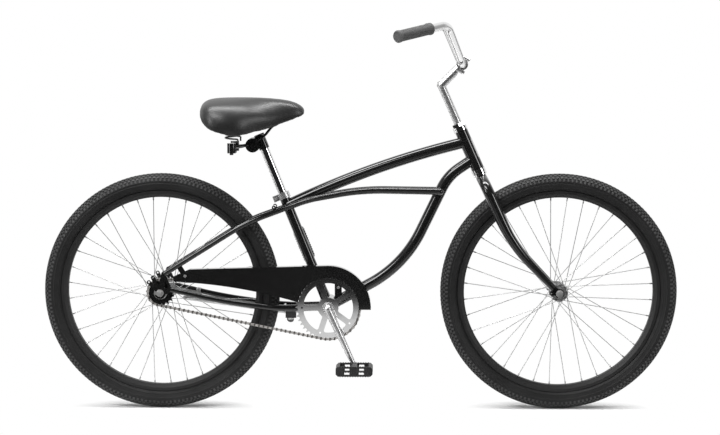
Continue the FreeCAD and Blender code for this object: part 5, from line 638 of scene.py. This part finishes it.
def saddle_pad():
    """Crowned pad under a vinyl cover, drawn in at its sides."""
    start_piece()
    pad = bpy.data.objects.new("saddle_pad", nodes["saddle_cushion"].data.copy())
    bpy.context.scene.collection.objects.link(pad)
    pad.select_set(True)
    bpy.context.view_layer.objects.active = pad
    bpy.ops.object.mode_set(mode="EDIT")
    bpy.ops.mesh.select_all(action="SELECT")
    bpy.ops.mesh.remove_doubles(threshold=WELD)
    bpy.ops.object.mode_set(mode="OBJECT")
    pad.data.remesh_voxel_size = PAD_VOXEL
    bpy.ops.object.voxel_remesh()
    bpy.ops.object.mode_set(mode="EDIT")
    bpy.ops.mesh.select_all(action="SELECT")
    bpy.ops.mesh.vertices_smooth(factor=PAD_SMOOTHING, repeat=PAD_SMOOTH_FIRST)
    bpy.ops.transform.shrink_fatten(value=-PAD_DRAW_IN)
    bpy.ops.object.mode_set(mode="OBJECT")
    draw_out_nose(pad)
    swell(pad)
    bpy.ops.object.mode_set(mode="EDIT")
    bpy.ops.mesh.select_all(action="SELECT")
    bpy.ops.mesh.vertices_smooth(factor=PAD_SMOOTHING, repeat=PAD_SMOOTH_LAST)
    bpy.ops.transform.shrink_fatten(value=PAD_FILL_OUT)
    bpy.ops.object.mode_set(mode="OBJECT")
    rounding = pad.modifiers.new("rounding", "SUBSURF")
    rounding.levels = 1
    rounding.render_levels = 1
    bpy.ops.object.modifier_apply(modifier="rounding")
    settle(pad, VINYL, "saddle_top", PAD_SHADING)
    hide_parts("saddle_cushion")


def coil_springs():
    """Both saddle springs, copied from the CAD mesh with doubled points welded and smooth shading."""
    start_piece()
    coils = bpy.data.objects.new("saddle_coils", nodes["saddle_springs"].data.copy())
    bpy.context.scene.collection.objects.link(coils)
    coils.select_set(True)
    bpy.context.view_layer.objects.active = coils
    bpy.ops.object.mode_set(mode="EDIT")
    bpy.ops.mesh.select_all(action="SELECT")
    bpy.ops.mesh.remove_doubles(threshold=WELD)
    bpy.ops.object.mode_set(mode="OBJECT")
    bpy.ops.object.shade_smooth_by_angle(angle=math.radians(SPRING_SMOOTH))
    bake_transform(coils)
    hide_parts("saddle_springs")


def studio_floor():
    """White floor that keeps the shadow under each wheel. It mirrors dark in front, but for a white card."""
    start_piece()
    bpy.ops.mesh.primitive_plane_add(size=FLOOR_SIZE)
    floor = bpy.context.object
    floor.name = "studio_floor"
    finish = Finish("floor_white", {"Base Color": grey(0.82), "Roughness": 0.9, "Specular IOR Level": 0.1})
    seen = finish.ray("Is Camera Ray")
    mirror = finish.ray("Is Glossy Ray")
    from_middle = finish.size_of(finish.along("X")) - CONTACT_AT
    across = finish.along("Y")
    from_contact = ((from_middle * (1 / SHADOW_LENGTH)) ** 2 + (across * (1 / SHADOW_WIDTH)) ** 2) ** 0.5
    far = finish.between_steps(from_contact, SHADOW_CORE, 1.0, 0.0, 1.0)
    white = finish.add("ShaderNodeEmission", {}, {"Color": grey(1.0), "Strength": 1.0}, "Emission")
    lit = Signal(finish, finish.shader.outputs["BSDF"])
    pale = finish.add("ShaderNodeMixShader", {}, {0: seen * far, 1: lit, 2: white}, "Shader")
    in_front = finish.between_steps(across, *FLOOR_DARK_FROM, 1.0, 0.0)
    beside_card = finish.size_of(finish.along("X") - CARD_PLACE.x)
    before_card = finish.size_of(across - CARD_PLACE.y)
    across_card = finish.between_steps(beside_card, *CARD_ACROSS, 1.0, 0.0)
    along_card = finish.between_steps(before_card, *CARD_ALONG, 1.0, 0.0)
    shown = finish.between(across_card * along_card, grey(ROOM_DARK), grey(CARD_WHITE))
    dim = finish.add("ShaderNodeEmission", {}, {"Color": shown, "Strength": 1.0}, "Emission")
    mixed = finish.add("ShaderNodeMixShader", {}, {0: mirror * in_front, 1: pale, 2: dim}, "Shader")
    finish.feed(finish.tree.nodes["Material Output"].inputs["Surface"], mixed)
    floor.data.materials.append(finish.data)


def softbox(name, place, aim, width, height, power):
    data = bpy.data.lights.new(name, "AREA")
    data.shape = "RECTANGLE"
    data.size = width
    data.size_y = height
    data.energy = power
    lamp = bpy.data.objects.new(name, data)
    lamp.location = place
    lamp.rotation_mode = "QUATERNION"
    lamp.rotation_quaternion = (Vector(aim) - Vector(place)).to_track_quat("-Z", "Y")
    bpy.context.scene.collection.objects.link(lamp)


def studio_light():
    """White backdrop behind the bicycle, a dim room behind the camera, and four soft boxes."""
    room = Finish("studio_room", {"Color": (1, 1, 1, 1)}, backdrop=True)
    mirror = room.ray("Is Glossy Ray")
    way = room.add("ShaderNodeTexCoord", {}, {}, "Generated")

    def wall(axis, start, end, brightness):
        towards = room.add("ShaderNodeSeparateXYZ", {}, {"Vector": way}, axis)
        return room.between_steps(towards, start, end, ROOM_DARK, brightness)

    mirrored = room.larger(room.larger(wall(*LEFT_WALL), wall(*CEILING)), wall(*BACKDROP))
    plain = room.larger(room.ray("Is Camera Ray"), room.ray("Is Transmission Ray"))
    unseen = mirror * mirrored + (1 - mirror) * ROOM_LIGHT
    room.set("Strength", plain + (1 - plain) * unseen)
    bpy.context.scene.world = room.data
    for box in SOFT_BOXES:
        softbox(*box)


def photograph_camera():
    data = bpy.data.cameras.new("photograph")
    data.lens = CAMERA_LENS
    data.sensor_width = CAMERA_SENSOR
    data.sensor_fit = "HORIZONTAL"
    data.clip_end = CAMERA_REACH
    camera = bpy.data.objects.new("photograph", data)
    camera.location = CAMERA_PLACE
    camera.rotation_mode = "QUATERNION"
    camera.rotation_quaternion = (CAMERA_AIM - CAMERA_PLACE).to_track_quat("-Z", "Y")
    bpy.context.scene.collection.objects.link(camera)
    bpy.context.scene.camera = camera


finish_carried_nodes()
tyre_with_blocks("front_tyre_tread", "front_tyre", "front_wheel")
tyre_with_blocks("rear_tyre_tread", "rear_tyre", "rear_wheel")
right_grip = ribbed_grip("right_grip", -1)
left_grip = ribbed_grip("left_grip", 1)
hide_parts("grips")
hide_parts("grips")
pedal_teeth("right_pedal_teeth", "right_pedal", "right_pedal", 0)
pedal_teeth("left_pedal_teeth", "left_pedal", "left_pedal", LEFT_PEDAL_TURN)
saddle_pad()
coil_springs()
studio_floor()
studio_light()
photograph_camera()
bpy.context.scene.view_settings.view_transform = "Standard"
